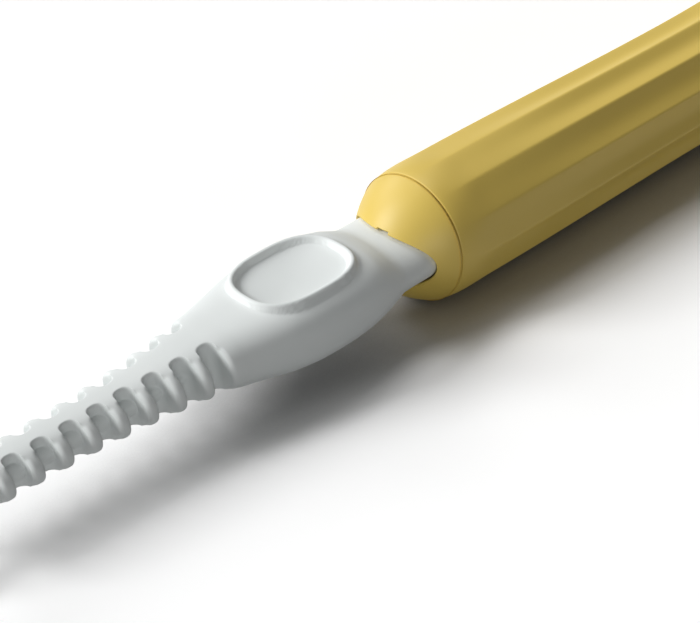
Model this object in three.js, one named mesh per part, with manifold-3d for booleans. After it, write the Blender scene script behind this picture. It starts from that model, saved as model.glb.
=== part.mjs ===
// Electric toothbrush lying on its side with its charging lead plugged into the end cap.
// Millimetres. x runs along the handle's axis from the cap seam toward the brush head,
// y across and z up. The last lines move the whole into the shared frame.
import * as THREE from 'three';
import Module from 'manifold-3d';

const wasm = await Module();
wasm.setup();

// Clearances
const GAP = 0.3; // between pieces that touch or are fixed together
const RUN_GAP = 0.3; // round a piece that turns or slides
const SEAM = 0.3; // parting line between cap and handle

// Handle
const HANDLE_R = 12; // over the ribs, where the handle is thickest
const SEAM_R = 11.41; // at the cap seam
const WAIST_R = 11.2;
const NOSE_R = 7.3;
const HANDLE_L = 158; // seam to nose
const SWELL_END = 7.5; // the tail swelling is full from here
const WAIST_START = 9.5;
const NOSE_TAPER = 44;
const GRIP_L = 10; // the second full part, under the fingers
const GRIP_RISE = 36; // from the waist to the grip
const GRIP_END = HANDLE_L - NOSE_TAPER;
const GRIP_START = GRIP_END - GRIP_L;
const WAIST_X = GRIP_START - GRIP_RISE;
const RIBS = 12;
const FLUTE_D = 0.95; // deepest flute below the rib crests
const FLUTE_START = 1.5;
const FLAT_D = 0.36; // depth at which a flute is still a flat
const FLAT_END = 9.5;
const FLUTE_FULL = 46;
const FLUTE_BARE = 8; // smooth length at the nose
const FLUTE_RUN_OUT = 22;
const FLUTE_END = HANDLE_L - FLUTE_BARE;
const FLUTE_FADE = FLUTE_END - FLUTE_RUN_OUT;
const CREST = 0.045; // half of a rib's flat crest, as a share of the rib pitch
const BORE_R = 8.8;
const NECK_R = 5; // bore behind the nose
const NECK_L = 12;
const BORE_TAPER = 18;
const NECK_START = HANDLE_L - NECK_L;
const BORE_END = NECK_START - BORE_TAPER;

// End cap and charging socket
const DOME_L = 10.03;
const DOME_P = 1.17; // roundness of the dome
const MOUTH_A = 9.1; // half width of the socket's mouth
const MOUTH_B = 5; // half height
const MOUTH_N = 2.1;
const SOCKET_FLOOR = -1; // x of the floor of the socket
const FLOOR_T = 1.6;
const SPIGOT_L = 7;
const SPIGOT_R = BORE_R - GAP;
const RING_D = 1; // thickness of the cap's sealing ring
const PIN_R = 0.85;
const PIN_Y = 3.3; // pins lie this far from the axis
const PIN_OUT = 5.5; // length of pin inside the socket
const KEY_W = 1.5;
const KEY_Y = -0.7;

// Inside the handle
const CELL_R = 5.05;
const CELL_L = 44;
const CELL_X = 12.4; // rear end of the cell
const TAB_T = 0.3;
const BOARD_T = 0.8;
const BOARD_Z = 2; // underside of the board
const BOARD_W = 12.4;
const BOARD_START = 10;
const DRIVE_ROOM = 57.5; // from the board to the nose, for the motor and shaft
const BOARD_END = HANDLE_L - DRIVE_ROOM;
const SCREW_IN = 5.5; // from the cell or the board's end to a screw
const POCKET_IN = 9; // from the same places to the pocket in the frame
const POCKET_W = 10.4;
const POCKET_FLOOR = -5.5;
const FRAME_START = SPIGOT_L + 1;
const FRAME_END = BOARD_END + 0.5;
const FRAME_R = BORE_R - GAP;
const SCREW_R = 0.85;
const BUTTON_BACK = 16.5; // from the board's end
const BUTTON_X = BOARD_END - BUTTON_BACK;
const BUTTON_A = 7.4; // half length of the button
const BUTTON_B = 4.7; // half width
const BUTTON_TRAVEL = 0.7;
const LAMP_X = BOARD_END - 2.2;
const PIPE_R = 1.2;

// Motor and drive shaft
const MOTOR_START = FRAME_END + 1.3;
const MOTOR_L = 29;
const CASE_R = 7.6;
const CASE_T = 0.6;
const SHAFT_R = 2;
const SHAFT_OUT = 21; // length of shaft in front of the nose
const BUSH_T = 1.3;
const CORE_L = 14;
const COIL_L = 4.5;
const MAGNET_T = 1;

// Brush head
const HEAD_GAP = 1.2; // between the nose ring and the head
const NOSE_RING_OUT = 1.2; // the nose ring stands out of the nose by this
const HEAD_L = 78;
const HEAD_BASE_R = 6.5;
const HEAD_NECK_R = 2.9;
const PLATE_A = 13; // half length of the bristle plate
const PLATE_B = 5.9;
const PLATE_T = 4.2;
const BRISTLE_L = 10;
const TUFT_PITCH = 2.1;
const STRAND_R = 0.22;
const STRANDS = 6; // in a tuft
const STRAND_STEP = 0.56; // from the middle of a tuft to its strands

// Charging plug with its comb strain relief
const PAD_X = -27.8; // middle of the thumb pad
const PAD_A = 11.1;
const PAD_B = 7.8;
const PAD_BEAD = 1.2;
const PAD_Z = 7.1; // top of the bead
const NOSE_GAP = 0.3; // round the plug's nose in the mouth
const COMB_FIRST = -49.5; // middle of the first slot
const COMB_PITCH = 5.7;
const COMB_SLOTS = 9;
const SLOT_W = 3.2;
const WEB_FIRST = 3.4; // half width of the web between the slots
const WEB_LAST = 1.3;
const WEB_STEPS = 3.4; // slots over which the web narrows
const CORE_R = 2.4; // round core that shows in the slots
const COMB_END = COMB_FIRST - COMB_PITCH * (COMB_SLOTS - 1) - SLOT_W / 2 - 4.35;

// Lead
const CORD_D = 3.2;
const FOLD_R = 3 * CORD_D; // least radius of the hank's folds
const HANK_RUN = 20 * CORD_D;
const HANK_STEP = 4.1; // between loops in a layer
const HANK_RISE = 3.9; // between layers
const HANK_WAIST = 6.2; // how far the tie draws the runs in
const HANK_LOOPS = 3.25;
const HANK_TURN = 1.5; // loops laid before the spiral reverses
const LEAD_OUT = 44; // from the comb to the hank
const HANK_START = COMB_END - LEAD_OUT;
const TAIL_L = 27; // from the hank to the USB plug
const TIE_T = 1.2;
const TIE_W = 9;
const USB_W = 15.6;
const USB_T = 7.8;
const USB_L = 20;
const USB_RELIEF = 6;
const SHELL_W = 12;
const SHELL_T = 4.5;
const SHELL_OUT = 12;
const SHELL_WALL = 0.4;

// Colour, roughness and metalness of each material
const LOOK = {
  yellow: [0xd9b648, 0.45, 0],
  white: [0xe9ebe8, 0.5, 0],
  grey: [0x9b9c9c, 0.6, 0],
  black: [0x24262a, 0.6, 0],
  board: [0x2f6b3c, 0.5, 0],
  steel: [0xb9bcc0, 0.3, 1],
  brass: [0xcaa75a, 0.3, 1],
  copper: [0xb4683a, 0.4, 1],
  clear: [0xeaf2f5, 0.1, 0],
  cell: [0x3f6fa8, 0.4, 0],
};

const ease = (t) => {
  const c = Math.min(Math.max(t, 0), 1);
  return c * c * (3 - 2 * c);
};
const mix = (a, b, t) => a + (b - a) * t;

// Welds a geometry, turns its faces outward and makes it a solid.
function solid(geo) {
  const p = geo.attributes.position;
  const index = geo.index ? Array.from(geo.index.array) : [...Array(p.count).keys()];
  const seen = new Map();
  const verts = [];
  const weld = [];
  for (let i = 0; i < p.count; i++) {
    const at = [p.getX(i), p.getY(i), p.getZ(i)];
    const key = at.map((v) => Math.round(v * 2e3)).join();
    if (!seen.has(key)) {
      seen.set(key, verts.length / 3);
      verts.push(...at);
    }
    weld.push(seen.get(key));
  }
  const tris = [];
  let volume = 0;
  for (let i = 0; i < index.length; i += 3) {
    const [a, b, c] = [0, 1, 2].map((k) => weld[index[i + k]]);
    if (a === b || b === c || c === a) continue;
    tris.push(a, b, c);
    const [u, v, w] = [a, b, c].map((k) => new THREE.Vector3().fromArray(verts, 3 * k));
    volume += u.dot(v.cross(w));
  }
  if (volume < 0) tris.reverse();
  return new wasm.Manifold(
    new wasm.Mesh({
      numProp: 3,
      vertProperties: new Float32Array(verts),
      triVerts: new Uint32Array(tris),
    }),
  );
}

// Turned piece about the handle's axis from [x, radius] pairs.
function turned(points, sides = 24) {
  const geo = new THREE.LatheGeometry(
    points.map(([x, r]) => new THREE.Vector2(r, x)),
    sides,
  );
  return solid(geo.rotateZ(-Math.PI / 2));
}
const rod = (x0, x1, r, sides) => turned([[x0, 0], [x0, r], [x1, r], [x1, 0]], sides);
const tube = (x0, x1, ri, ro, sides) =>
  turned([[x0, ri], [x0, ro], [x1, ro], [x1, ri], [x0, ri]], sides);

function slab(x0, x1, y0, y1, z0, z1) {
  const geo = new THREE.BoxGeometry(x1 - x0, y1 - y0, z1 - z0);
  return solid(geo.translate((x0 + x1) / 2, (y0 + y1) / 2, (z0 + z1) / 2));
}

function post(x, y, z0, z1, r, sides = 16) {
  const geo = new THREE.CylinderGeometry(r, r, z1 - z0, sides);
  return solid(geo.rotateX(Math.PI / 2).translate(x, y, (z0 + z1) / 2));
}

// Superellipse of half sizes a and b
function oval(a, b, n, count = 32) {
  return Array.from({ length: count }, (_, i) => {
    const t = ((i + 0.5) / count) * Math.PI * 2;
    const c = Math.cos(t);
    const s = Math.sin(t);
    return [
      a * Math.sign(c) * Math.abs(c) ** (2 / n),
      b * Math.sign(s) * Math.abs(s) ** (2 / n),
    ];
  });
}

function outline(points) {
  return new THREE.Shape(points.map(([x, y]) => new THREE.Vector2(x, y)));
}

// Flat piece of an outline in x and y, between two heights, with its edges rounded by edge.
function plate(points, z0, z1, { hole, edge = 0, x = 0, steps = 2 } = {}) {
  const shape = outline(points);
  if (hole) shape.holes.push(new THREE.Path(outline(hole).getPoints()));
  const geo = new THREE.ExtrudeGeometry(shape, {
    depth: z1 - z0 - 2 * edge,
    bevelEnabled: edge > 0,
    bevelThickness: edge,
    bevelSize: edge,
    bevelOffset: -edge,
    bevelSegments: steps,
  });
  return solid(geo.translate(x, 0, z0 + edge));
}

// Bar along x of a section in y and z
function bar(points, x0, x1, { hole, y = 0, z = 0 } = {}) {
  const shape = outline(points);
  if (hole) shape.holes.push(new THREE.Path(outline(hole).getPoints()));
  const geo = new THREE.ExtrudeGeometry(shape, { depth: x1 - x0, bevelEnabled: false });
  geo.applyMatrix4(new THREE.Matrix4().set(0, 0, 1, x0, 1, 0, 0, y, 0, 1, 0, z, 0, 0, 0, 1));
  return solid(geo);
}

// Skin over rings of points, closed at both ends
function loft(rings) {
  const n = rings[0].length;
  const verts = rings.flat();
  const tris = [];
  for (let k = 0; k + 1 < rings.length; k++) {
    for (let i = 0; i < n; i++) {
      const j = (i + 1) % n;
      const [a, b] = [k * n + i, k * n + j];
      tris.push(a, b, b + n, a, b + n, a + n);
    }
  }
  const last = (rings.length - 1) * n;
  [rings[0], rings[rings.length - 1]].forEach((ring, end) => {
    const mid = [0, 1, 2].map((k) => ring.reduce((sum, p) => sum + p[k], 0) / n);
    verts.push(mid);
    for (let i = 0; i < n; i++) {
      const j = (i + 1) % n;
      if (end) tris.push(last + i, last + j, verts.length - 1);
      else tris.push(j, i, verts.length - 1);
    }
  });
  const geo = new THREE.BufferGeometry();
  geo.setAttribute('position', new THREE.Float32BufferAttribute(verts.flat(), 3));
  geo.setIndex(tris);
  return solid(geo);
}

const cut = (body, ...tools) => tools.reduce((b, t) => b.subtract(t), body);
const join = (body, ...more) => more.reduce((b, m) => b.add(m), body);

const part = new THREE.Group();
part.name = 'electric_toothbrush';
const frame = new THREE.Group();
frame.name = 'lying_on_its_side';
part.add(frame);

function piece(name, body, look) {
  const mesh = body.getMesh();
  const geo = new THREE.BufferGeometry();
  const at = new Float32Array(mesh.numVert * 3);
  for (let i = 0; i < mesh.numVert; i++) {
    for (let k = 0; k < 3; k++) at[3 * i + k] = mesh.vertProperties[i * mesh.numProp + k];
  }
  geo.setAttribute('position', new THREE.BufferAttribute(at, 3));
  geo.setIndex(Array.from(mesh.triVerts));
  geo.computeVertexNormals();
  const [color, roughness, metalness] = LOOK[look];
  const m = new THREE.Mesh(
    geo,
    new THREE.MeshStandardMaterial({ color, roughness, metalness }),
  );
  m.name = name;
  frame.add(m);
}

// Handle shell: a fluted tube, swollen at the tail and under the fingers, with a waist between.
function handleR(x) {
  if (x < SWELL_END) return mix(SEAM_R, HANDLE_R, 1 - (1 - x / SWELL_END) ** 2);
  if (x < WAIST_X) {
    return mix(HANDLE_R, WAIST_R, ease((x - WAIST_START) / (WAIST_X - WAIST_START)));
  }
  if (x < GRIP_START) return mix(WAIST_R, HANDLE_R, ease((x - WAIST_X) / (GRIP_START - WAIST_X)));
  return mix(HANDLE_R, NOSE_R, ease((x - GRIP_END) / (HANDLE_L - GRIP_END)));
}

function fluteDepth(x) {
  const flat = FLAT_D * ease((x - FLUTE_START) / (FLAT_END - FLUTE_START));
  const hollow = (FLUTE_D - FLAT_D) * ease((x - FLAT_END) / (FLUTE_FULL - FLAT_END));
  return (flat + hollow) * (1 - ease((x - FLUTE_FADE) / (FLUTE_END - FLUTE_FADE)));
}

function handleRing(x) {
  const pitch = (Math.PI * 2) / RIBS;
  const ring = [];
  for (let k = 0; k < RIBS; k++) {
    for (const t of [-CREST, CREST, 0.27, 0.5, 0.73]) {
      const angle = Math.PI / 2 + (k + t) * pitch;
      const across = Math.min(Math.max((t - CREST) / (1 - 2 * CREST), 0), 1);
      const crest = handleR(x) / Math.cos(CREST * pitch);
      const r = crest - fluteDepth(x) * 4 * across * (1 - across);
      ring.push([x, r * Math.cos(angle), r * Math.sin(angle)]);
    }
  }
  return ring;
}

const stations = [
  SEAM / 2, 2, 4.5, SWELL_END, WAIST_START, 16, 24, 34, FLUTE_FULL, WAIST_X,
  WAIST_X + GRIP_RISE / 3, GRIP_START - GRIP_RISE / 3, GRIP_START, GRIP_END,
  ...[10, 19, 27, 34, 39.5, 44].map((d) => GRIP_END + (NOSE_TAPER * d) / 44),
];
const windowOval = oval(BUTTON_A + RUN_GAP, BUTTON_B + RUN_GAP, 2.4, 28);
const NOSE_SEAT = 2.4; // depth of the seat for the nose ring
const NOSE_RING_R = 6;
piece(
  'handle_shell',
  cut(
    loft(stations.map(handleRing)),
    turned([
      [-1, 0],
      [-1, BORE_R],
      [BORE_END, BORE_R],
      [NECK_START, NECK_R],
      [HANDLE_L - NOSE_SEAT, NECK_R],
      [HANDLE_L - NOSE_SEAT, NOSE_RING_R + GAP],
      [HANDLE_L + 1, NOSE_RING_R + GAP],
      [HANDLE_L + 1, 0],
    ]),
    plate(windowOval, BORE_R - 4, HANDLE_R + 2, { x: BUTTON_X }),
    post(LAMP_X, 0, BORE_R - 3, HANDLE_R + 2, PIPE_R + GAP),
  ),
  'yellow',
);

// End cap: a smooth dome with the oval socket in it, and a spigot with a sealing ring.
const DOME_STEPS = 9;
const dome = Array.from({ length: DOME_STEPS + 1 }, (_, i) => {
  const t = 1 - (i / DOME_STEPS) ** 1.5;
  const x = mix(-SEAM / 2, -DOME_L, t);
  return [x, SEAM_R * Math.sqrt(1 - t ** DOME_P)];
});
const GROOVE = RING_D + 2 * GAP;
const GROOVE_X = (SPIGOT_L - GROOVE) / 2;
const GROOVE_R = BORE_R - RING_D - GAP * 1.5;
const mouth = oval(MOUTH_A, MOUTH_B, MOUTH_N, 32);
piece(
  'end_cap',
  cut(
    turned(
      [
        ...dome,
        [-SEAM / 2, SPIGOT_R],
        [GROOVE_X, SPIGOT_R],
        [GROOVE_X, GROOVE_R],
        [GROOVE_X + GROOVE, GROOVE_R],
        [GROOVE_X + GROOVE, SPIGOT_R],
        [SPIGOT_L, SPIGOT_R],
        [SPIGOT_L, 0],
      ],
      32,
    ),
    bar(mouth, -DOME_L - 2, SOCKET_FLOOR),
    slab(-DOME_L - 2, -4, KEY_Y - KEY_W / 2, KEY_Y + KEY_W / 2, 0, MOUTH_B + 0.45),
    rod(SOCKET_FLOOR + FLOOR_T, SPIGOT_L + 1, 6),
    ...[-1, 1].map((s) => rod(-3, 3, PIN_R + GAP, 12).translate([0, s * PIN_Y, 0])),
  ),
  'yellow',
);
const ringMid = GROOVE_X + GROOVE / 2;
const ringR = BORE_R - GAP * 0.75 - RING_D / 2;
piece(
  'cap_o_ring',
  turned(
    Array.from({ length: 7 }, (_, i) => {
      const t = (i / 6) * Math.PI * 2;
      return [ringMid + (RING_D / 2) * Math.cos(t), ringR + (RING_D / 2) * Math.sin(t)];
    }),
    24,
  ),
  'black',
);
const flangeX = SOCKET_FLOOR + FLOOR_T + GAP;
[['left', 1], ['right', -1]].forEach(([side, s]) => {
  piece(
    `contact_pin_${side}`,
    turned(
      [
        [SOCKET_FLOOR - PIN_OUT, 0],
        [SOCKET_FLOOR - PIN_OUT, PIN_R * 0.6],
        [SOCKET_FLOOR - PIN_OUT + 0.6, PIN_R],
        [flangeX, PIN_R],
        [flangeX, PIN_R * 2],
        [flangeX + 1, PIN_R * 2],
        [flangeX + 1, PIN_R],
        [SPIGOT_L - 0.6, PIN_R],
        [SPIGOT_L - 0.6, 0],
      ],
      10,
    ).translate([0, s * PIN_Y, 0]),
    'brass',
  );
});

// Inner frame with the cell lying in its trough, the board on top
const cellZ = BOARD_Z - GAP - CELL_R - 0.05;
const frameTop = BOARD_Z - GAP;
const cellEnd = CELL_X + CELL_L;
const screws = [['rear', cellEnd + SCREW_IN], ['front', BOARD_END - SCREW_IN]];
const screwFoot = frameTop - 4.5;
const frameSolid = rod(FRAME_START, FRAME_END, FRAME_R, 36).subtract(
  slab(FRAME_START - 1, FRAME_END + 1, -BORE_R, BORE_R, frameTop, BORE_R),
);
const troughEnd = GAP * 2 + TAB_T;
piece(
  'inner_frame',
  cut(
    frameSolid,
    rod(CELL_X - troughEnd, cellEnd + troughEnd, CELL_R + GAP, 28).translate([0, 0, cellZ]),
    slab(
      cellEnd + POCKET_IN,
      BOARD_END - POCKET_IN,
      -POCKET_W / 2,
      POCKET_W / 2,
      POCKET_FLOOR,
      frameTop + 1,
    ),
    ...screws.map(([, x]) => post(x, 0, screwFoot - GAP, frameTop + 1, SCREW_R + GAP, 12)),
  ),
  'white',
);
piece('battery_cell', rod(CELL_X, cellEnd, CELL_R, 28).translate([0, 0, cellZ]), 'cell');
const TAB_W = 2.4;
const tab = (x) => slab(x, x + TAB_T, -TAB_W / 2, TAB_W / 2, cellZ - 3, frameTop);
piece('battery_tab_rear', tab(CELL_X - GAP - TAB_T), 'steel');
piece('battery_tab_front', tab(cellEnd + GAP), 'steel');
const boardTop = BOARD_Z + BOARD_T;
piece(
  'circuit_board',
  cut(
    slab(BOARD_START, BOARD_END, -BOARD_W / 2, BOARD_W / 2, BOARD_Z, boardTop),
    ...screws.map(([, x]) => post(x, 0, 0, boardTop + 1, SCREW_R + GAP, 12)),
  ),
  'board',
);
screws.forEach(([end, x]) => {
  piece(
    `board_screw_${end}`,
    join(
      post(x, 0, screwFoot, boardTop + GAP + 0.5, SCREW_R, 12),
      post(x, 0, boardTop + GAP, boardTop + GAP + 1, SCREW_R * 2.1, 16),
    ),
    'steel',
  );
});
const onBoard = boardTop + GAP;
const nubTop = onBoard + 1.3;
piece(
  'tact_switch',
  join(
    slab(BUTTON_X - 3, BUTTON_X + 3, -3, 3, onBoard, onBoard + 0.9),
    post(BUTTON_X, 0, onBoard + 0.5, nubTop, 1.4),
  ),
  'black',
);
piece('indicator_led', slab(LAMP_X - 1, LAMP_X + 1, -0.7, 0.7, onBoard, onBoard + 0.8), 'clear');
const pipeFoot = onBoard + 0.8 + GAP;
piece(
  'light_pipe',
  join(
    post(LAMP_X, 0, pipeFoot, handleR(LAMP_X) + 0.05, PIPE_R),
    post(LAMP_X, 0, pipeFoot, pipeFoot + 1, PIPE_R * 1.6),
  ),
  'clear',
);

// Power button: a pad with a flange inside the shell, over a plunger
const plungerFoot = nubTop + BUTTON_TRAVEL + 0.05;
const PLUNGER_R = 1.5;
const flangeFoot = plungerFoot + 0.15;
const FLANGE_T = 0.8;
const padTop = handleR(BUTTON_X) + 0.35;
piece(
  'power_button',
  cut(
    join(
      plate(oval(BUTTON_A, BUTTON_B, 2.4, 28), flangeFoot + 0.3, padTop, {
        x: BUTTON_X,
        edge: 0.5,
      }),
      plate(oval(BUTTON_A + 1.2, BUTTON_B + 0.9, 2.4, 28), flangeFoot, flangeFoot + FLANGE_T, {
        x: BUTTON_X,
      }),
    ),
    post(BUTTON_X, 0, flangeFoot - 1, flangeFoot + 2.6, PLUNGER_R + GAP),
  ),
  'white',
);
piece('switch_plunger', post(BUTTON_X, 0, plungerFoot, flangeFoot + 2.3, PLUNGER_R), 'grey');

// Motor: a steel can with a ring core, two coils and bearings, round an oscillating rotor
const motorEnd = MOTOR_START + MOTOR_L;
const caseIn = CASE_R - CASE_T;
const bushIn = SHAFT_R + RUN_GAP;
const bushOut = bushIn + BUSH_T;
piece(
  'motor_case',
  turned([
    [MOTOR_START, caseIn],
    [MOTOR_START, CASE_R],
    [motorEnd, CASE_R],
    [motorEnd, bushOut + GAP],
    [motorEnd - 1, bushOut + GAP],
    [motorEnd - 1, caseIn],
    [MOTOR_START, caseIn],
  ]),
  'steel',
);
const PLATE_X = MOTOR_START + 0.4;
piece('motor_end_plate', tube(PLATE_X, PLATE_X + 1.2, bushOut + GAP, caseIn - GAP, 20), 'grey');
piece('rear_bearing', tube(PLATE_X - 0.7, PLATE_X + 2.3, bushIn, bushOut, 16), 'brass');
piece('front_bearing', tube(motorEnd - 2.5, motorEnd + 1.5, bushIn, bushOut, 16), 'brass');
const coreMid = (MOTOR_START + motorEnd) / 2;
const [coreRear, coreFront] = [coreMid - CORE_L / 2, coreMid + CORE_L / 2];
const magnetIn = SHAFT_R + GAP * 2 + 0.9;
const magnetOut = magnetIn + MAGNET_T;
const coreIn = magnetOut + RUN_GAP * 2;
piece('stator_core', tube(coreRear, coreFront, coreIn, caseIn - GAP, 20), 'steel');
piece('coil_rear', tube(coreRear - GAP - COIL_L, coreRear - GAP, coreIn, caseIn - GAP, 20), 'copper');
piece('coil_front', tube(coreFront + GAP, coreFront + GAP + COIL_L, coreIn, caseIn - GAP, 20), 'copper');
piece('rotor_yoke', tube(coreRear - 1, coreFront + 1, SHAFT_R + GAP, magnetIn - GAP, 16), 'steel');
const magnetRing = tube(coreRear, coreFront, magnetIn, magnetOut, 24);
const magnetCut = 1.6; // half height of the space between the two magnets
const big = CASE_R * 2;
piece(
  'magnet_upper',
  magnetRing.subtract(slab(coreRear - 1, coreFront + 1, -big, big, -big, magnetCut)),
  'grey',
);
piece(
  'magnet_lower',
  magnetRing.subtract(slab(coreRear - 1, coreFront + 1, -big, big, -magnetCut, big)),
  'grey',
);
const shaftEnd = HANDLE_L + SHAFT_OUT;
const FLAT_L = 12;
piece(
  'drive_shaft',
  turned(
    [
      [MOTOR_START - 0.8, 0],
      [MOTOR_START - 0.8, SHAFT_R],
      [shaftEnd - 0.6, SHAFT_R],
      [shaftEnd, SHAFT_R - 0.6],
      [shaftEnd, 0],
    ],
    20,
  ).subtract(slab(shaftEnd - FLAT_L, shaftEnd + 1, -3, 3, SHAFT_R - 0.7, 3)),
  'steel',
);
piece(
  'shaft_seal',
  tube(NECK_START + 1.5, HANDLE_L - NOSE_SEAT - GAP, SHAFT_R + RUN_GAP, NECK_R - GAP, 20),
  'black',
);
piece(
  'nose_ring',
  tube(
    HANDLE_L - NOSE_SEAT + GAP,
    HANDLE_L + NOSE_RING_OUT,
    SHAFT_R + RUN_GAP * 2,
    NOSE_RING_R,
    24,
  ),
  'white',
);

// Brush head: a hollow stem that pushes onto the shaft, running out into the bristle plate
const headX = HANDLE_L + NOSE_RING_OUT + HEAD_GAP;
const headEnd = headX + HEAD_L;
const plateX = headEnd - PLATE_A;
const socketR = SHAFT_R + GAP;
const socketEnd = shaftEnd + 1;
const CLIP_T = 0.8;
const CLIP_L = 6.4;
const clipX = headX + 7.5;
const clipR = socketR + GAP / 2;
const RING_L = 2;
const ringX = headX + 1.6;
const ringIn = HEAD_BASE_R - 0.4;
const stemProfile = [
  [headX, 0],
  [headX, HEAD_BASE_R - 0.4],
  [headX + 0.5, HEAD_BASE_R],
  [ringX - GAP, HEAD_BASE_R],
  [ringX - GAP, ringIn - GAP],
  [ringX + RING_L + GAP, ringIn - GAP],
  [ringX + RING_L + GAP, HEAD_BASE_R],
  ...Array.from({ length: 8 }, (_, i) => {
    const t = (i + 1) / 8;
    const x = mix(ringX + RING_L + GAP, headX + 36, t);
    return [x, mix(HEAD_BASE_R, HEAD_NECK_R, ease(0.08 + 0.92 * t))];
  }),
  [plateX - 8, HEAD_NECK_R - 0.4],
  [plateX - 3, PLATE_T / 2 - 0.3],
  [plateX - 3, 0],
];
const plateTop = PLATE_T / 2 - 0.1;
const recessFloor = plateTop - 1;
const fieldA = PLATE_A - 0.9;
const fieldB = PLATE_B - 0.9;
piece(
  'head_stem',
  cut(
    join(
      turned(stemProfile, 20),
      plate(oval(PLATE_A, PLATE_B, 2.5, 28), -PLATE_T / 2, plateTop, { x: plateX, edge: 0.8 }),
    ),
    rod(headX - 1, socketEnd, socketR, 16),
    tube(clipX - GAP, clipX + CLIP_L + GAP, socketR - 0.2, clipR + CLIP_T + GAP, 16),
    plate(oval(fieldA, fieldB, 2.5, 28), recessFloor, plateTop + 2, { x: plateX }),
  ),
  'white',
);
piece('head_ring', tube(ringX, ringX + RING_L, ringIn, HEAD_BASE_R + 0.25, 24), 'yellow');
piece(
  'head_clip',
  tube(clipX, clipX + CLIP_L, clipR, clipR + CLIP_T, 16).subtract(
    slab(clipX - 1, clipX + CLIP_L + 1, -1, 1, 0, big),
  ),
  'steel',
);

// Bristles: tufts of strands on two slices of backing, an outer ring and an inner field
const backFoot = recessFloor + GAP;
const backTop = plateTop - 0.1;
function strands(spots, height) {
  const made = [];
  for (const [x, y] of spots) {
    for (let k = 0; k < STRANDS; k++) {
      const turn = (k / STRANDS) * Math.PI * 2;
      const out = STRAND_STEP;
      const geo = new THREE.CylinderGeometry(STRAND_R, STRAND_R, height - backFoot - 0.3, 3);
      geo.rotateX(Math.PI / 2);
      geo.translate(
        x + out * Math.cos(turn),
        y + out * Math.sin(turn),
        (height + backFoot + 0.3) / 2,
      );
      made.push(solid(geo));
    }
  }
  return wasm.Manifold.union(made);
}
const innerA = fieldA - TUFT_PITCH - GAP;
const innerB = fieldB - TUFT_PITCH - GAP;
const innerSpots = [];
const tuftR = STRAND_STEP + STRAND_R;
const rows = Math.floor((innerA - tuftR) / TUFT_PITCH);
for (let i = -rows; i <= rows; i++) {
  const reach = (Math.abs(i) * TUFT_PITCH + tuftR) / innerA;
  const side = innerB * (1 - reach ** 2.5) ** 0.4 - tuftR - 0.1;
  const across = side > 2 * tuftR ? [-side, 0, side] : [0];
  for (const y of across) innerSpots.push([plateX + i * TUFT_PITCH, y]);
}
const bristleTop = plateTop + BRISTLE_L;
piece(
  'bristles_inner',
  join(
    plate(oval(innerA, innerB, 2.5, 32), backFoot, backTop, { x: plateX }),
    strands(innerSpots, bristleTop - 0.8),
  ),
  'yellow',
);
const lane = oval(fieldA - TUFT_PITCH / 2, fieldB - TUFT_PITCH / 2, 2.5, 400);
const laneStep = lane.map((p, i) => Math.hypot(...p.map((v, k) => v - lane.at(i - 1)[k])));
const laneL = laneStep.reduce((a, b) => a + b);
const outerCount = Math.floor(laneL / TUFT_PITCH);
const outerSpots = [];
let walked = 0;
lane.forEach(([x, y], i) => {
  walked += laneStep[i];
  if (walked >= ((outerSpots.length + 0.5) * laneL) / outerCount) outerSpots.push([plateX + x, y]);
});
piece(
  'bristles_outer',
  join(
    plate(oval(fieldA - GAP, fieldB - GAP, 2.5, 36), backFoot, backTop, {
      x: plateX,
      hole: oval(innerA + GAP, innerB + GAP, 2.5, 32),
    }),
    strands(outerSpots, bristleTop),
  ),
  'white',
);

// Charging plug: one moulding from the nose in the socket to the end of the comb.
// Each station is x, half width, half height above and below, and squareness.
const noseA = MOUTH_A - NOSE_GAP;
const noseB = MOUTH_B - NOSE_GAP;
const NOSE_FRONT = -2.8; // the moulding starts here, the insert's face is in front of it
const plugStations = [
  [NOSE_FRONT, noseA, noseB, noseB, MOUTH_N],
  [-9.8, noseA, noseB - 0.05, 5.1, MOUTH_N],
  [-11.4, 9, 4.8, 5.8, 2.2],
  [-13.2, 9.35, 5.4, 6.35, 2.4],
  [-15.5, 9.75, 6.05, 6.6, 2.7],
  [-19, 10.2, 6.5, 6.75, 3],
  [-24, 10.45, 6.65, 6.9, 3.2],
  [-30, 10.4, 6.65, 6.9, 3.2],
  [-35, 9.85, 6.4, 6.65, 3.1],
  [-39.5, 9, 6, 6.1, 2.9],
  [-44, 8.1, 5.6, 5.6, 2.7],
  [-48, 7.4, 5.25, 5.25, 2.6],
  [-53, 6.85, 4.9, 4.9, 2.6],
  [-58, 6.3, 4.45, 4.45, 2.6],
  [-65, 5.65, 3.95, 3.95, 2.6],
  [-75, 5.15, 3.55, 3.55, 2.6],
  [-84, 4.9, 3.35, 3.35, 2.6],
  [COMB_END + 1, 4.8, 3.3, 3.3, 2.6],
  [COMB_END, 4.3, 2.8, 2.8, 2.6],
];
const plugSkin = loft(
  plugStations.map(([x, a, up, down, n]) =>
    oval(a, 1, n, 28).map(([y, z]) => [x, y, z * (z > 0 ? up : down)]),
  ),
);
const slots = [];
for (let k = 0; k < COMB_SLOTS; k++) {
  const x = COMB_FIRST - k * COMB_PITCH;
  const web = mix(WEB_FIRST, WEB_LAST, Math.min(k / WEB_STEPS, 1));
  for (const s of [-1, 1]) {
    const end = Array.from({ length: 4 }, (_, i) => {
      const t = (i / 3) * Math.PI;
      return [
        x + (SLOT_W / 2) * Math.cos(t),
        s * (web + (SLOT_W / 2) * (1 - Math.sin(t))),
      ];
    });
    const far = [[x - SLOT_W / 2, s * big], [x + SLOT_W / 2, s * big]];
    slots.push(plate([...end, ...far], -PAD_Z, PAD_Z));
  }
}
const INSERT_TAIL = 12.6;
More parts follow.
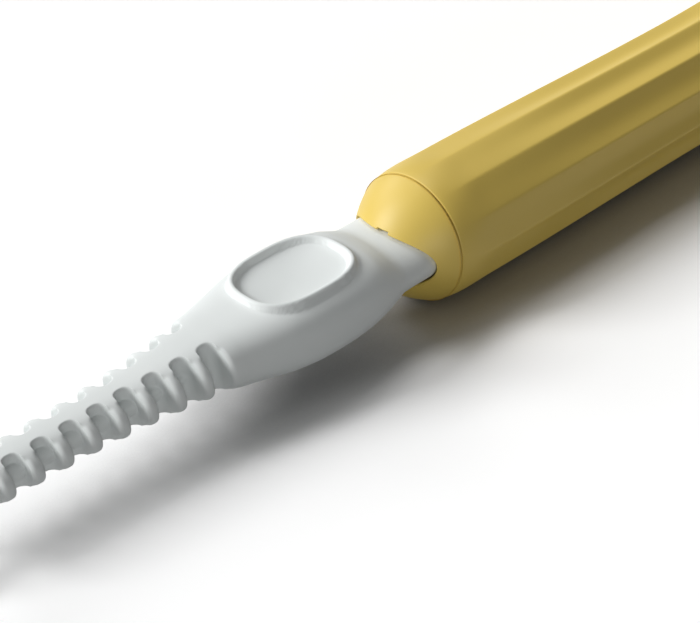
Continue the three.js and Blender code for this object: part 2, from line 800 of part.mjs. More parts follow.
const tailBox = (grow) =>
  slab(
    NOSE_FRONT - INSERT_TAIL - grow,
    NOSE_FRONT + 1,
    -5.6 - grow,
    5.6 + grow,
    -2.4 - grow,
    2.4 + grow,
  );
const dish = solid(
  new THREE.SphereGeometry(1, 24, 8)
    .rotateX(Math.PI / 2)
    .scale(PAD_A - PAD_BEAD + 0.25, PAD_B - PAD_BEAD + 0.2, 1.9)
    .translate(PAD_X, 0, PAD_Z + 0.1),
);
const BEAD_FOOT = PAD_Z - 2.1; // inside the moulding
const bead = plate(oval(PAD_A, PAD_B, 2.7, 32), BEAD_FOOT - 1, PAD_Z, {
  x: PAD_X,
  hole: oval(PAD_A - PAD_BEAD, PAD_B - PAD_BEAD, 2.6, 32),
  edge: 0.5,
  steps: 1,
});
const cordSeat = 6; // the lead goes this far into the end of the comb
piece(
  'plug_body',
  cut(
    join(
      cut(plugSkin, ...slots),
      bead.subtract(slab(PAD_X - 2 * PAD_A, PAD_X + 2 * PAD_A, -big, big, 0, BEAD_FOOT)),
      rod(COMB_END + 0.5, COMB_FIRST + 4, CORE_R, 12),
    ),
    dish,
    tailBox(GAP),
    rod(COMB_END - 1, COMB_END + cordSeat + GAP, CORD_D / 2 + GAP, 12),
  ),
  'white',
);
const insertFront = SOCKET_FLOOR - 0.7;
const sleeveIn = PIN_R + GAP;
const sleeveOut = sleeveIn + 0.35;
const sleeveEnd = insertFront - 9.5;
piece(
  'plug_insert',
  cut(
    join(
      bar(oval(noseA, noseB, MOUTH_N, 32), NOSE_FRONT + GAP, insertFront),
      tailBox(0).subtract(slab(NOSE_FRONT + 0.6, 2, -big, big, -big, big)),
    ),
    ...[-1, 1].map((s) =>
      rod(sleeveEnd - GAP, 0, sleeveOut + GAP, 12).translate([0, s * PIN_Y, 0]),
    ),
  ),
  'grey',
);
[['left', 1], ['right', -1]].forEach(([side, s]) => {
  piece(
    `plug_contact_${side}`,
    tube(sleeveEnd, insertFront - GAP, sleeveIn, sleeveOut, 12).translate([0, s * PIN_Y, 0]),
    'brass',
  );
});

// Lead: out of the comb, down to the table, into a tied hank, ending in a USB plug.
const floorZ = -HANDLE_R;
const restZ = floorZ + CORD_D / 2;
const hankMid = HANK_START - HANK_RUN / 2;
const outerR = FOLD_R + HANK_STEP * HANK_TURN;
function hankPoint(t) {
  const climb = ease((t - HANK_TURN) / 0.25);
  const out = t < HANK_TURN ? HANK_TURN - t : Math.max(t - HANK_TURN - 0.25, 0);
  const r = FOLD_R + HANK_STEP * out;
  const u = (t % 1) * 4;
  const half = HANK_RUN / 2;
  const turn = (u % 1) * Math.PI;
  let x;
  let y;
  if (u < 1) [x, y] = [mix(half, -half, u), r];
  else if (u < 2) [x, y] = [-half - r * Math.sin(turn), r * Math.cos(turn)];
  else if (u < 3) [x, y] = [mix(-half, half, u - 2), -r];
  else [x, y] = [half + r * Math.sin(turn), -r * Math.cos(turn)];
  const drawn = Math.abs(x) < half ? Math.cos((Math.PI * x) / HANK_RUN) ** 2 : 0;
  return new THREE.Vector3(
    hankMid + x,
    y - Math.sign(y) * HANK_WAIST * drawn,
    restZ + HANK_RISE * climb + (TIE_T + GAP) * drawn,
  );
}
const usbY = USB_W / 2 + 0.7;
const usbZ = floorZ + USB_T / 2;
const hankEnd = hankPoint(HANK_LOOPS - 1e-9);
const usbX = hankEnd.x - TAIL_L;
function tailPoint(t) {
  const s = ease((t * TAIL_L - 6) / (TAIL_L - 6 - CORD_D));
  return new THREE.Vector3(
    mix(hankEnd.x, usbX, t),
    mix(hankEnd.y, usbY, s),
    mix(hankEnd.z, usbZ, s),
  );
}
const hankSteps = Math.round(HANK_LOOPS * 24);
const hankPath = [];
for (let i = 0; i < hankSteps; i++) hankPath.push(hankPoint((i / hankSteps) * HANK_LOOPS));
for (let i = 0; i <= 8; i++) hankPath.push(tailPoint(i / 8));

// Tube of few sides along a list of points, its ends square to x
function cordTube(path, sides) {
  const up = new THREE.Vector3(0, 0, 1);
  return loft(
    path.map((p, i) => {
      const along = path[Math.min(i + 1, path.length - 1)].clone();
      along.sub(path[Math.max(i - 1, 0)]).normalize();
      if (i === 0 || i === path.length - 1) along.set(-1, 0, 0);
      const side = new THREE.Vector3().crossVectors(up, along).normalize();
      const top = new THREE.Vector3().crossVectors(along, side);
      return Array.from({ length: sides }, (_, k) => {
        const a = (k / sides) * Math.PI * 2;
        const q = p.clone().addScaledVector(side, (CORD_D / 2) * Math.cos(a));
        return q.addScaledVector(top, (CORD_D / 2) * Math.sin(a)).toArray();
      });
    }),
  );
}
piece('cord_hank', cordTube(hankPath, 6), 'white');

// Least gap between stretches of the hank that are more than two diameters apart along it
const fine = [];
for (let i = 0; i < hankSteps * 4; i++) fine.push(hankPoint((i / hankSteps / 4) * HANK_LOOPS));
for (let i = 0; i <= 40; i++) fine.push(tailPoint(i / 40));
const run = [0];
for (let i = 1; i < fine.length; i++) run.push(run[i - 1] + fine[i].distanceTo(fine[i - 1]));
let least = Infinity;
fine.forEach((p, i) => {
  for (let j = 0; j < i; j++) {
    if (run[i] - run[j] > 3 * CORD_D) least = Math.min(least, p.distanceTo(fine[j]) - CORD_D);
  }
});
console.log(`least gap of the hank to itself ${least.toFixed(2)} mm`);

const runStart = COMB_END + cordSeat;
const runEnd = HANK_START + GAP;
const dropFrom = COMB_END - CORD_D;
const dropTo = HANK_START + 2 * CORD_D;
const runPath = Array.from({ length: 15 }, (_, i) => {
  const x = i === 0 ? runStart : mix(COMB_END - 1, runEnd, (i - 1) / 13);
  const s = ease((x - dropFrom) / (dropTo - dropFrom));
  return new THREE.Vector3(x, outerR * s, restZ * s);
});
const runL = runPath.reduce((sum, p, i) => sum + (i ? p.distanceTo(runPath[i - 1]) : 0), 0);
console.log(`lead ${((runL + run[run.length - 1]) / 1000).toFixed(3)} m`);
const runGeo = new THREE.ExtrudeGeometry(
  outline(oval(CORD_D / 2, CORD_D / 2, 2, 8)),
  {
    steps: 18,
    bevelEnabled: false,
    extrudePath: new THREE.CatmullRomCurve3(runPath, false, 'centripetal'),
  },
);
piece('cord_run', solid(runGeo), 'white');

// Tie round the waist of the hank
const tieA = outerR - HANK_WAIST + CORD_D / 2 + GAP;
const tieH = HANK_RISE + CORD_D + 2 * GAP;
const tieMid = floorZ + TIE_T + tieH / 2;
piece(
  'hank_tie',
  bar(oval(tieA + TIE_T, tieH / 2 + TIE_T, 5, 28), hankMid - TIE_W / 2, hankMid + TIE_W / 2, {
    z: tieMid,
    hole: oval(tieA, tieH / 2, 7, 28),
  }),
  'grey',
);

// USB plug: a moulding with a short tapered relief, a folded steel shell and its tongue
const usbBody = usbX - GAP - USB_RELIEF;
const usbEnd = usbBody - USB_L;
const SHELL_IN = 4; // length of shell inside the moulding
const reliefRing = (x, w, h) => oval(w, h, 2.4, 12).map(([y, z]) => [x, y, z]);
const usbSolid = join(
  loft([
    reliefRing(usbX - GAP, CORD_D / 2 + 0.9, CORD_D / 2 + 0.8),
    reliefRing(usbBody - 0.5, CORD_D / 2 + 2.2, CORD_D / 2 + 1.3),
  ]).translate([0, usbY, usbZ]),
  bar(oval(USB_W / 2, USB_T / 2, 6, 28), usbEnd, usbBody, { y: usbY, z: usbZ }),
);
const shellA = SHELL_W / 2;
const shellB = SHELL_T / 2;
piece(
  'usb_overmould',
  usbSolid.subtract(
    slab(
      usbEnd - 1,
      usbEnd + SHELL_IN + GAP,
      usbY - shellA - GAP,
      usbY + shellA + GAP,
      usbZ - shellB - GAP,
      usbZ + shellB + GAP,
    ),
  ),
  'white',
);
const shellTip = usbEnd - SHELL_OUT;
const shellBack = usbEnd + SHELL_IN;
piece(
  'usb_shell',
  slab(shellTip, shellBack, usbY - shellA, usbY + shellA, usbZ - shellB, usbZ + shellB).subtract(
    slab(
      shellTip - 1,
      shellBack - SHELL_WALL,
      usbY - shellA + SHELL_WALL,
      usbY + shellA - SHELL_WALL,
      usbZ - shellB + SHELL_WALL,
      usbZ + shellB - SHELL_WALL,
    ),
  ),
  'steel',
);
piece(
  'usb_tongue',
  slab(
    shellTip + 0.6,
    shellBack - SHELL_WALL - GAP,
    usbY - shellA + SHELL_WALL + GAP,
    usbY + shellA - SHELL_WALL - GAP,
    usbZ - shellB + SHELL_WALL + GAP,
    usbZ - 0.1,
  ),
  'black',
);

// Shared frame: the middle of the toothbrush's length at the origin, lying on the table
frame.position.set((DOME_L - headEnd) / 2, 0, HANDLE_R);

export default part;
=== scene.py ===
import math
import random

import bmesh
import bpy
from mathutils import Matrix, Vector


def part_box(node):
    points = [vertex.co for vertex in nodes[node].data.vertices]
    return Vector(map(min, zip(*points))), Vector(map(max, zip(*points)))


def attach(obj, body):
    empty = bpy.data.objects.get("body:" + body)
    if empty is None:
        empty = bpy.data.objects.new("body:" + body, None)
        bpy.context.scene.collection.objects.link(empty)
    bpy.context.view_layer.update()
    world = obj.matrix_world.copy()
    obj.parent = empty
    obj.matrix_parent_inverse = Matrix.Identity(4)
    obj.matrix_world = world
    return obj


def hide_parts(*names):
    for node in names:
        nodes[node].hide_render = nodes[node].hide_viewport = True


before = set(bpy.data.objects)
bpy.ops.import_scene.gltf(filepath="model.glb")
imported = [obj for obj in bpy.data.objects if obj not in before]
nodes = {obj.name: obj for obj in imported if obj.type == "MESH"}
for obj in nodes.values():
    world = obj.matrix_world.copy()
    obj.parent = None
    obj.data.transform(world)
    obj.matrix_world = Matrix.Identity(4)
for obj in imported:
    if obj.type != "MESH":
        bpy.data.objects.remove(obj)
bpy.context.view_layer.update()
scene = bpy.context.scene

# Camera: a long lens looking down the diagonal of a cube, close to the socket end of the handle.
# The brush head is out of the picture on the right and the hank of the lead on the left.
MM = 0.001
SEAM_GAP = 0.15  # half of the parting line between handle and cap
SEAM_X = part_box("handle_shell")[0].x / MM - SEAM_GAP
AXIS_Z = 12.0


def at(x, y=0.0, z=0.0):
    """A point given in millimetres from the cap seam, on the handle's axis."""
    return Vector((SEAM_X + x, y, AXIS_Z + z)) * MM


camera = bpy.data.objects.new("camera", bpy.data.cameras.new("camera"))
camera.data.lens = 200
camera.data.sensor_width = 36
camera.data.clip_start = 0.01
camera.data.clip_end = 50
right = Vector((1, -1, 0)).normalized()
ahead = Vector((1, 1, -1)).normalized()
facing = Matrix((right, right.cross(ahead), -ahead)).transposed().to_4x4()
camera.matrix_world = Matrix.Translation(at(-383.78, -369.16, 361.31)) @ facing
scene.collection.objects.link(camera)
scene.camera = camera
scene.view_settings.view_transform = "Standard"


# Studio: a white floor under soft sun lamps, most of them behind the object on the left, with one
# overhead and a weak low fill from the camera's side. The floor is white to the camera and keeps
# the shadow, and where the object closes it in it has painted shade, darkened by ambient occlusion.
class Wire:
    """An output in a material. Arithmetic on it adds Math nodes."""

    def __init__(self, finish, socket):
        self.finish = finish
        self.socket = socket

    def math(self, how, a, b):
        return self.finish.node("ShaderNodeMath", {"operation": how}, {0: a, 1: b})

    def __add__(self, other):
        return self.math("ADD", self, other)

    def __radd__(self, other):
        return self.math("ADD", other, self)

    def __sub__(self, other):
        return self.math("SUBTRACT", self, other)

    def __rsub__(self, other):
        return self.math("SUBTRACT", other, self)

    def __mul__(self, other):
        return self.math("MULTIPLY", self, other)

    def __rmul__(self, other):
        return self.math("MULTIPLY", other, self)

    def __gt__(self, other):
        return self.math("GREATER_THAN", self, other)


class Finish:
    """A node tree with one method that adds any node."""

    def __init__(self, name, tree=None):
        self.material = None
        if tree is None:
            self.material = bpy.data.materials.new(name)
            self.material.use_nodes = True
            tree = self.material.node_tree
        self.tree = tree

    def feed(self, socket, value):
        if isinstance(value, Wire):
            self.tree.links.new(value.socket, socket)
        elif hasattr(value, "__len__") and len(value) == 3 and socket.type == "RGBA":
            socket.default_value = (*value, 1)
        else:
            socket.default_value = value

    def node(self, kind, settings={}, sockets={}, out=0):
        made = self.tree.nodes.new(kind)
        for name, value in settings.items():
            setattr(made, name, value)
        for name, value in sockets.items():
            self.feed(made.inputs[name], value)
        return Wire(self, made.outputs[out])

    def mix(self, share, a, b):
        """Colour a where share is 0 and b where it is 1."""
        return self.node("ShaderNodeMix", {"data_type": "RGBA"}, {0: share, 6: a, 7: b}, out=2)

    def spot(self, scale, detail=2.0, coords=None, stretch=None):
        """Noise from 0 to 1 with features about 1/scale metres long."""
        if coords is None:
            coords = self.coords()
        if stretch:
            coords = self.node("ShaderNodeMapping", {}, {"Vector": coords, "Scale": stretch})
        return self.node(
            "ShaderNodeTexNoise", {}, {"Vector": coords, "Scale": scale, "Detail": detail}
        )

    def coords(self):
        """Object coordinates."""
        return self.node("ShaderNodeTexCoord", out=3)

    def rays(self, *kinds):
        """For each kind of ray, 1 where the surface is met by it."""
        path = self.tree.nodes.new("ShaderNodeLightPath")
        return [Wire(self, path.outputs[f"Is {kind} Ray"]) for kind in kinds]

    def bump(self, height, depth):
        """A normal that follows a height of 0 to 1, depth metres high."""
        return self.node("ShaderNodeBump", {}, {"Height": height, "Distance": depth})

    def surface(self, **values):
        """Sets the shader's sockets, with _ for a space and capitals put back."""
        shader = self.tree.nodes["Principled BSDF"]
        for name, value in values.items():
            self.feed(shader.inputs[name.replace("_", " ").title().replace("Ior", "IOR")], value)
        return self


def lamp(name, strength, toward, angle):
    """A white sun lamp that stands in that direction and is angle degrees across."""
    light = bpy.data.lights.new(name, "SUN")
    light.energy = strength
    light.angle = math.radians(angle)
    holder = bpy.data.objects.new(name, light)
    holder.rotation_mode = "QUATERNION"
    holder.rotation_quaternion = Vector(toward).to_track_quat("Z", "Y")
    scene.collection.objects.link(holder)


lamp("main_light", 2.16, (-0.63, 0.53, 0.57), 24)
lamp("back_light", 0.64, (0.0, 0.87, 0.50), 24)
lamp("left_light", 0.62, (-0.84, 0.22, 0.50), 24)
lamp("top_light", 0.62, (0.21, 0.37, 0.91), 24)
lamp("low_fill", 0.56, (-0.49, -0.85, 0.21), 24)

sky = bpy.data.worlds.new("studio")
sky.use_nodes = True
scene.world = sky
sky_finish = Finish("studio", sky.node_tree)
seen, shine, through = sky_finish.rays("Camera", "Glossy", "Transmission")
AMBIENT = 0.02
SKY_SHINE = 0.45  # strength of the sky in reflections
sky_finish.feed(sky.node_tree.nodes["Background"].inputs["Color"], (1, 1, 1))
sky_finish.feed(
    sky.node_tree.nodes["Background"].inputs["Strength"],
    AMBIENT + (seen + through) * (1 - AMBIENT) + shine * SKY_SHINE,
)

bm = bmesh.new()
bmesh.ops.create_grid(bm, x_segments=1, y_segments=1, size=6)
floor = bpy.data.objects.new("floor", bpy.data.meshes.new("floor"))
bm.to_mesh(floor.data)
bm.free()
scene.collection.objects.link(floor)
pale = Finish("pale_floor")
WHITE = 1.24  # colour at which the lit floor is just white
BOUNCE = 0.32  # colour of the floor in the light that it throws back
# Painted shade: near the object the floor's colour to the camera is darkened, down to this share of
# the white, within the reach below.
DARKEST_PAINTED_SHADE = 0.15  # share of the white that is left where the floor is closed in
PAINTED_SHADE_REACH = 0.012  # how near that is, in metres
seen, shine, through = pale.rays("Camera", "Glossy", "Transmission")
# painted shade on the floor: its ambient occlusion near the object darkens its colour to the camera
painted_shade_ao = pale.node("ShaderNodeAmbientOcclusion", {"samples": 8}, {"Distance": PAINTED_SHADE_REACH}, out=1)
white_with_painted_shade = pale.mix(painted_shade_ao * (1 - DARKEST_PAINTED_SHADE) + DARKEST_PAINTED_SHADE, (0, 0, 0), (WHITE, WHITE, WHITE))
pale.surface(
    Base_Color=pale.mix(seen + shine + through, (BOUNCE, BOUNCE, BOUNCE), white_with_painted_shade),
    Roughness=1.0,
    Specular_Ior_Level=0.0,
)
floor.data.materials.append(pale.material)


# Charging lead: a round soft cord moulded into the end of the comb. It drops to the table and
# the length that is not needed is folded into a hank in line with the handle.
CORD_D = 3.2
COMB_END = -101.05
LEAD_OUT = 44
HANK_START = COMB_END - LEAD_OUT
HANK_RUN = 20 * CORD_D
HANK_MID = HANK_START - HANK_RUN / 2
HANK_STEP = 4.1  # between loops in a layer
HANK_RISE = 3.9  # between layers
HANK_WAIST = 6.2  # how far the tie draws the runs in
HANK_LIFT = 1.5  # and how far it lifts them
HANK_LOOPS = 3.25
HANK_TURN = 1.5  # loops laid before the spiral reverses
HANK_CLIMB = 0.25  # of a loop, from the lower layer to the upper
FOLD_R = 3 * CORD_D
REST_Z = -AXIS_Z + CORD_D / 2
OUTER_R = FOLD_R + HANK_STEP * HANK_TURN


def ease(t):
    t = min(max(t, 0.0), 1.0)
    return t * t * (3 - 2 * t)


def mix(a, b, t):
    return a + (b - a) * t


def hank_point(t):
    """Point t loops along the hank, from the outside of the lower layer inward and back out."""
    climb = ease((t - HANK_TURN) / HANK_CLIMB)
    out = HANK_TURN - t if t < HANK_TURN else max(t - HANK_TURN - HANK_CLIMB, 0)
    r = FOLD_R + HANK_STEP * out
    u = (t % 1) * 4
    half = HANK_RUN / 2
    bend = (u % 1) * math.pi
    if u < 1:
        x, y = mix(half, -half, u), r
    elif u < 2:
        x, y = -half - r * math.sin(bend), r * math.cos(bend)
    elif u < 3:
        x, y = mix(-half, half, u - 2), -r
    else:
        x, y = half + r * math.sin(bend), -r * math.cos(bend)
    drawn = math.cos(math.pi * x / HANK_RUN) ** 2 if abs(x) < half else 0
    return (
        HANK_MID + x,
        y - math.copysign(HANK_WAIST, y) * drawn,
        REST_Z + HANK_RISE * climb + HANK_LIFT * drawn,
    )


USB_Y = 8.5
USB_Z = -AXIS_Z + 3.9
TAIL = 27
TAIL_BEND = 6  # straight cord before the tail bends to the USB plug
BURIED = 4  # cord inside the end of the comb
lead = []
for i in range(41):
    x = mix(COMB_END + BURIED, HANK_START, i / 40)
    s = ease((x - COMB_END + CORD_D) / (HANK_START + 3 * CORD_D - COMB_END))
    lead.append((x, OUTER_R * s, REST_Z * s))
steps = 320
lead += [hank_point(HANK_LOOPS * i / steps) for i in range(1, steps)]
end = hank_point(HANK_LOOPS - 1e-9)
for i in range(31):
    t = i / 30
    s = ease((t * TAIL - TAIL_BEND) / (TAIL - TAIL_BEND - CORD_D))
    lead.append((end[0] - t * TAIL, mix(end[1], USB_Y, s), mix(end[2], USB_Z, s)))
lead.append((end[0] - TAIL - 2, USB_Y, USB_Z))
curve = bpy.data.curves.new("charging_cord", "CURVE")
curve.dimensions = "3D"
curve.bevel_depth = CORD_D / 2 * MM
curve.bevel_resolution = 5
curve.use_fill_caps = True
spline = curve.splines.new("POLY")
spline.points.add(len(lead) - 1)
for point, place in zip(spline.points, lead):
    point.co = (*at(*place), 1)
cord = bpy.data.objects.new("charging_cord", curve)
scene.collection.objects.link(cord)

soft_white = Finish("soft_white_overmould")
coords = soft_white.coords()
cloudy = soft_white.spot(90, 3, coords)
grain = soft_white.spot(5200, 2, coords)
soft_white.surface(
    Base_Color=soft_white.mix(cloudy, (0.785, 0.825, 0.815), (0.835, 0.865, 0.855)),
    Roughness=0.46 + 0.1 * grain,
    Normal=soft_white.bump(grain, 0.000012),
    Specular_Ior_Level=0.4,
)
curve.materials.append(soft_white.material)
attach(cord, "charging_lead")
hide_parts("cord_run", "cord_hank")


# Tie: a grey silicone strap round the waist of the hank, closed by a stud on top.
# Moulded flat with rounded edges and fine ribs, and stretched round the turns.
def skin(sides, stations, place, closed=False):
    """Extrudes a ring from station to station. place(station, angle) puts each of its points."""
    bm = bmesh.new()
    angle = bm.verts.layers.float.new("angle")
    ring = bmesh.ops.create_circle(bm, segments=sides, radius=1)["verts"]
    for v in ring:
        v[angle] = math.atan2(v.co.y, v.co.x)
    edges = list(bm.edges)
    first = edges
    for i, station in enumerate(stations):
        if i:
            grown = bmesh.ops.extrude_edge_only(bm, edges=edges)["geom"]
            ring = [g for g in grown if isinstance(g, bmesh.types.BMVert)]
            fresh = set(ring)
            edges = [g for g in grown if isinstance(g, bmesh.types.BMEdge)]
            edges = [e for e in edges if fresh.issuperset(e.verts)]
        for v in ring:
            v.co = place(station, v[angle])
    if closed:
        bmesh.ops.bridge_loops(bm, edges=first + edges)
    else:
        for loop in (first, edges):
            bmesh.ops.contextual_create(bm, geom=loop)
    bmesh.ops.remove_doubles(bm, verts=bm.verts, dist=1e-7)
    bmesh.ops.recalc_face_normals(bm, faces=bm.faces)
    return bm


def piece(bm, name, body, finish, slot, *stands_for, sharp=40):
    """Makes a piece of a mesh: it rides on a body and stands for CAD nodes."""
    for face in bm.faces:
        face.smooth = True
    for edge in bm.edges:
        if edge.is_manifold and edge.calc_face_angle() > math.radians(sharp):
            edge.smooth = False
    mesh = bpy.data.meshes.new(name)
    bm.to_mesh(mesh)
    bm.free()
    mesh.materials.append(finish.material)
    made = bpy.data.objects.new(name, mesh)
    scene.collection.objects.link(made)
    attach(made, body)
    if stands_for:
        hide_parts(*stands_for)
    return made


def oval_r(angle, a, b, n):
    """Distance from the middle of a superellipse to its edge."""
    c = abs(math.cos(angle)) / a
    s = abs(math.sin(angle)) / b
    return (c**n + s**n) ** (-1 / n)


TIE_W = 9
TIE_T = 1.2
TIE_EDGE = 0.5
TIE_PLAY = 0.3
TIE_A = OUTER_R - HANK_WAIST + CORD_D / 2 + TIE_PLAY
TIE_B = (HANK_RISE + CORD_D + 2 * TIE_PLAY) / 2
TIE_N = 5  # squareness of its loop
TIE_Z = -AXIS_Z + TIE_T + TIE_B
TIE_TOP = TIE_Z + TIE_B + TIE_T
strap_round = []
for corner in range(4):
    for i in range(5):
        turn = math.radians(90 * corner + 22.5 * i)
        sx = 1 if corner in (0, 3) else -1
        st = 1 if corner in (0, 1) else -1
        strap_round.append(
            (
                sx * (TIE_W / 2 - TIE_EDGE) + TIE_EDGE * math.cos(turn),
                st * (TIE_T / 2 - TIE_EDGE) + TIE_EDGE * math.sin(turn),
            )
        )


def strap_place(station, angle):
    x, out = station
    grow = TIE_T / 2 + out
    r = oval_r(angle, TIE_A + grow, TIE_B + grow, TIE_N)
    return at(HANK_MID + x, r * math.cos(angle), TIE_Z + r * math.sin(angle))


strap_grey = Finish("grey_silicone_strap")
coords = strap_grey.coords()
ribbing = strap_grey.node(
    "ShaderNodeTexWave",
    {"wave_type": "BANDS", "bands_direction": "X"},
    {"Vector": coords, "Scale": 320, "Distortion": 0.0},
    out=1,
)
dust = strap_grey.spot(900, 4, coords)
strap_grey.surface(
    Base_Color=strap_grey.mix(dust, (0.27, 0.28, 0.29), (0.34, 0.35, 0.355)),
    Roughness=0.62 + 0.12 * dust,
    Normal=strap_grey.bump(ribbing, 0.00012),
)
strap = piece(
    skin(112, strap_round, strap_place, closed=True),
    "hank_strap",
    "charging_lead",
    strap_grey,
    "grey_plastic",
    "hank_tie",
)
STUD_R = 2.6
STUD_TOP_R = 2.3
STUD_H = 0.9
STUD_Y = 4
STUD_MID = TIE_TOP + 0.35
bm = bmesh.new()
bmesh.ops.create_cone(
    bm,
    cap_ends=True,
    segments=40,
    radius1=STUD_R * MM,
    radius2=STUD_TOP_R * MM,
    depth=STUD_H * MM,
    matrix=Matrix.Translation(at(HANK_MID, STUD_Y, STUD_MID)),
)
rim = [e for e in bm.edges if all(v.co.z > at(0, 0, STUD_MID).z for v in e.verts)]
bmesh.ops.bevel(
    bm, geom=rim, offset=0.3 * MM, segments=3, profile=0.5, affect="EDGES", material=-1
)
stud = piece(bm, "strap_stud", "charging_lead", strap_grey, "grey_plastic")


# Inner frame: a natural plastic trough that holds the cell and carries the circuit board.
# It slides into the handle with the board screwed on top, and the cap closes it in.
def dress(finish, *names):
    """Gives CAD nodes a finish."""
    for name in names:
        for holder in nodes[name].material_slots:
            holder.material = finish.material


natural = Finish("natural_plastic")
coords = natural.coords()
flow = natural.spot(160, 4, coords, (1, 4, 4))
natural.surface(
    Base_Color=natural.mix(flow, (0.70, 0.69, 0.64), (0.78, 0.77, 0.73)),
    Roughness=0.42 + 0.15 * flow,
    Normal=natural.bump(natural.spot(2600, 2, coords), 0.00002),
)
dress(natural, "inner_frame")

sleeve = Finish("cell_sleeve")
coords = sleeve.coords()
along = sleeve.node("ShaderNodeSeparateXYZ", {}, {0: coords})
crinkle = sleeve.spot(700, 3, coords, (0.3, 1, 1))
BAND_X = 52  # from the seam to the pale band round the cell
band = along > (SEAM_X + BAND_X) * MM
sleeve.surface(
    Base_Color=sleeve.mix(band, (0.05, 0.16, 0.42), (0.62, 0.64, 0.66)),
    Roughness=0.28 + 0.15 * crinkle,
    Normal=sleeve.bump(crinkle, 0.00006),
)
dress(sleeve, "battery_cell")

bright = Finish("bright_steel")
coords = bright.coords()
brushed = bright.spot(2400, 3, coords, (0.08, 1, 1))
bright.surface(
    Base_Color=bright.mix(brushed, (0.56, 0.57, 0.58), (0.70, 0.71, 0.72)),
    Metallic=1.0,
    Roughness=0.22 + 0.2 * brushed,
    Normal=bright.bump(brushed, 0.00001),
)
dress(
    bright,
    "battery_tab_rear",
    "battery_tab_front",
    "board_screw_rear",
    "board_screw_front",
    "motor_case",
    "drive_shaft",
    "head_clip",
)

mask_green = Finish("solder_mask")
coords = mask_green.coords()
tracks = mask_green.node(
    "ShaderNodeTexBrick",
    {"offset": 0.37},
    {
        "Vector": coords,
        "Scale": 260,
        "Color1": (0, 0, 0),
        "Color2": (0.15, 0.15, 0.15),
        "Mortar": (1, 1, 1),
        "Mortar Size": 0.05,
    },
)
weave = mask_green.spot(1500, 2, coords)
mask_green.surface(
    Base_Color=mask_green.mix(tracks, (0.02, 0.13, 0.05), (0.06, 0.27, 0.11)),
    Roughness=0.25 + 0.2 * weave,
    Normal=mask_green.bump(tracks, 0.00004),
)
dress(mask_green, "circuit_board")

black = Finish("black_moulding")
coords = black.coords()
matt = black.spot(2000, 3, coords)
black.surface(
    Base_Color=black.mix(matt, (0.018, 0.018, 0.02), (0.035, 0.035, 0.037)),
    Roughness=0.5 + 0.2 * matt,
    Normal=black.bump(matt, 0.00002),
)
dress(black, "tact_switch", "cap_o_ring", "shaft_seal")

clear = Finish("clear_plastic")
coords = clear.coords()
haze = clear.spot(1200, 2, coords)
clear.surface(
    Base_Color=clear.mix(haze, (0.86, 0.89, 0.9), (0.93, 0.95, 0.96)),
    Roughness=0.18 + 0.15 * haze,
    Transmission_Weight=0.5,
    Ior=1.58,
)
dress(clear, "indicator_led", "light_pipe")

plated = Finish("plated_brass")
coords = plated.coords()
worn = plated.spot(1800, 3, coords, (0.2, 1, 1))
plated.surface(
    Base_Color=plated.mix(worn, (0.72, 0.53, 0.20), (0.83, 0.66, 0.33)),
    Metallic=1.0,
    Roughness=0.2 + 0.2 * worn,
    Normal=plated.bump(worn, 0.00001),
)
dress(
    plated,
    "contact_pin_left",
    "contact_pin_right",
    "plug_contact_left",
    "plug_contact_right",
    "front_bearing",
    "rear_bearing",
)

# Motor: a steel can with a stacked ring core, two wound coils and a rotor with two magnets.
# It is pressed into the front of the handle, and the coils rock the shaft a few degrees.
winding = Finish("copper_winding")
coords = winding.coords()
wires = winding.node(
    "ShaderNodeTexWave",
    {"wave_type": "BANDS", "bands_direction": "X"},
    {"Vector": coords, "Scale": 900, "Distortion": 0.4, "Detail": 1.0},
    out=1,
)
# Painted shade: the copper is darker in the grooves between the turns and lighter on their crests.
winding.surface(
    Base_Color=winding.mix(wires, (0.25, 0.09, 0.03), (0.62, 0.28, 0.12)),
    Metallic=1.0,
    Roughness=0.5 - 0.2 * wires,
    Normal=winding.bump(wires, 0.0001),
)
dress(winding, "coil_front", "coil_rear")
stack = Finish("stacked_core")
coords = stack.coords()
leaves = stack.node(
    "ShaderNodeTexWave",
    {"wave_type": "BANDS", "bands_direction": "X"},
    {"Vector": coords, "Scale": 700, "Distortion": 0.0},
    out=1,
)
stack.surface(
    Base_Color=stack.mix(leaves, (0.20, 0.20, 0.21), (0.46, 0.47, 0.48)),
    Metallic=1.0,
    Roughness=0.55 - 0.2 * leaves,
    Normal=stack.bump(leaves, 0.00005),
)
dress(stack, "stator_core", "rotor_yoke")
grey = Finish("grey_moulding")
coords = grey.coords()
speck = grey.spot(1900, 3, coords)
grey.surface(
    Base_Color=grey.mix(speck, (0.29, 0.29, 0.30), (0.36, 0.36, 0.37)),
    Roughness=0.45 + 0.15 * speck,
    Normal=grey.bump(speck, 0.00002),
)
dress(grey, "motor_end_plate", "magnet_upper", "magnet_lower", "switch_plunger")

# Handle shell: one satin yellow moulding, swollen at the tail and under the fingers.
# Twelve soft flutes grow out of the plain tail, run along the waist and fade at the nose.
HANDLE_R = 12
SEAM_R = 11.41
WAIST_R = 11.2
NOSE_R = 7.3
HANDLE_L = 158
BORE_R = 8.8
NECK_R = 5
NOSE_SEAT_R = 6.3
FLUTE_D = 0.95
RIBS = 12
RIDGE = 0.06  # roundness of the ridges between flutes
TAIL_X = (7.5, 9.5)  # the tail is swollen to the full radius between these
WAIST_X = 68
SWELL_X = (104, 114)  # and swollen again under the fingers
FLUTE_X = (1.5, 9.5, 46)  # flutes start, are flats, and are full
FLUTE_FLAT = 0.38  # share of the full depth at which they are flats
FADE_X = (128, 150)  # flutes fade at the nose


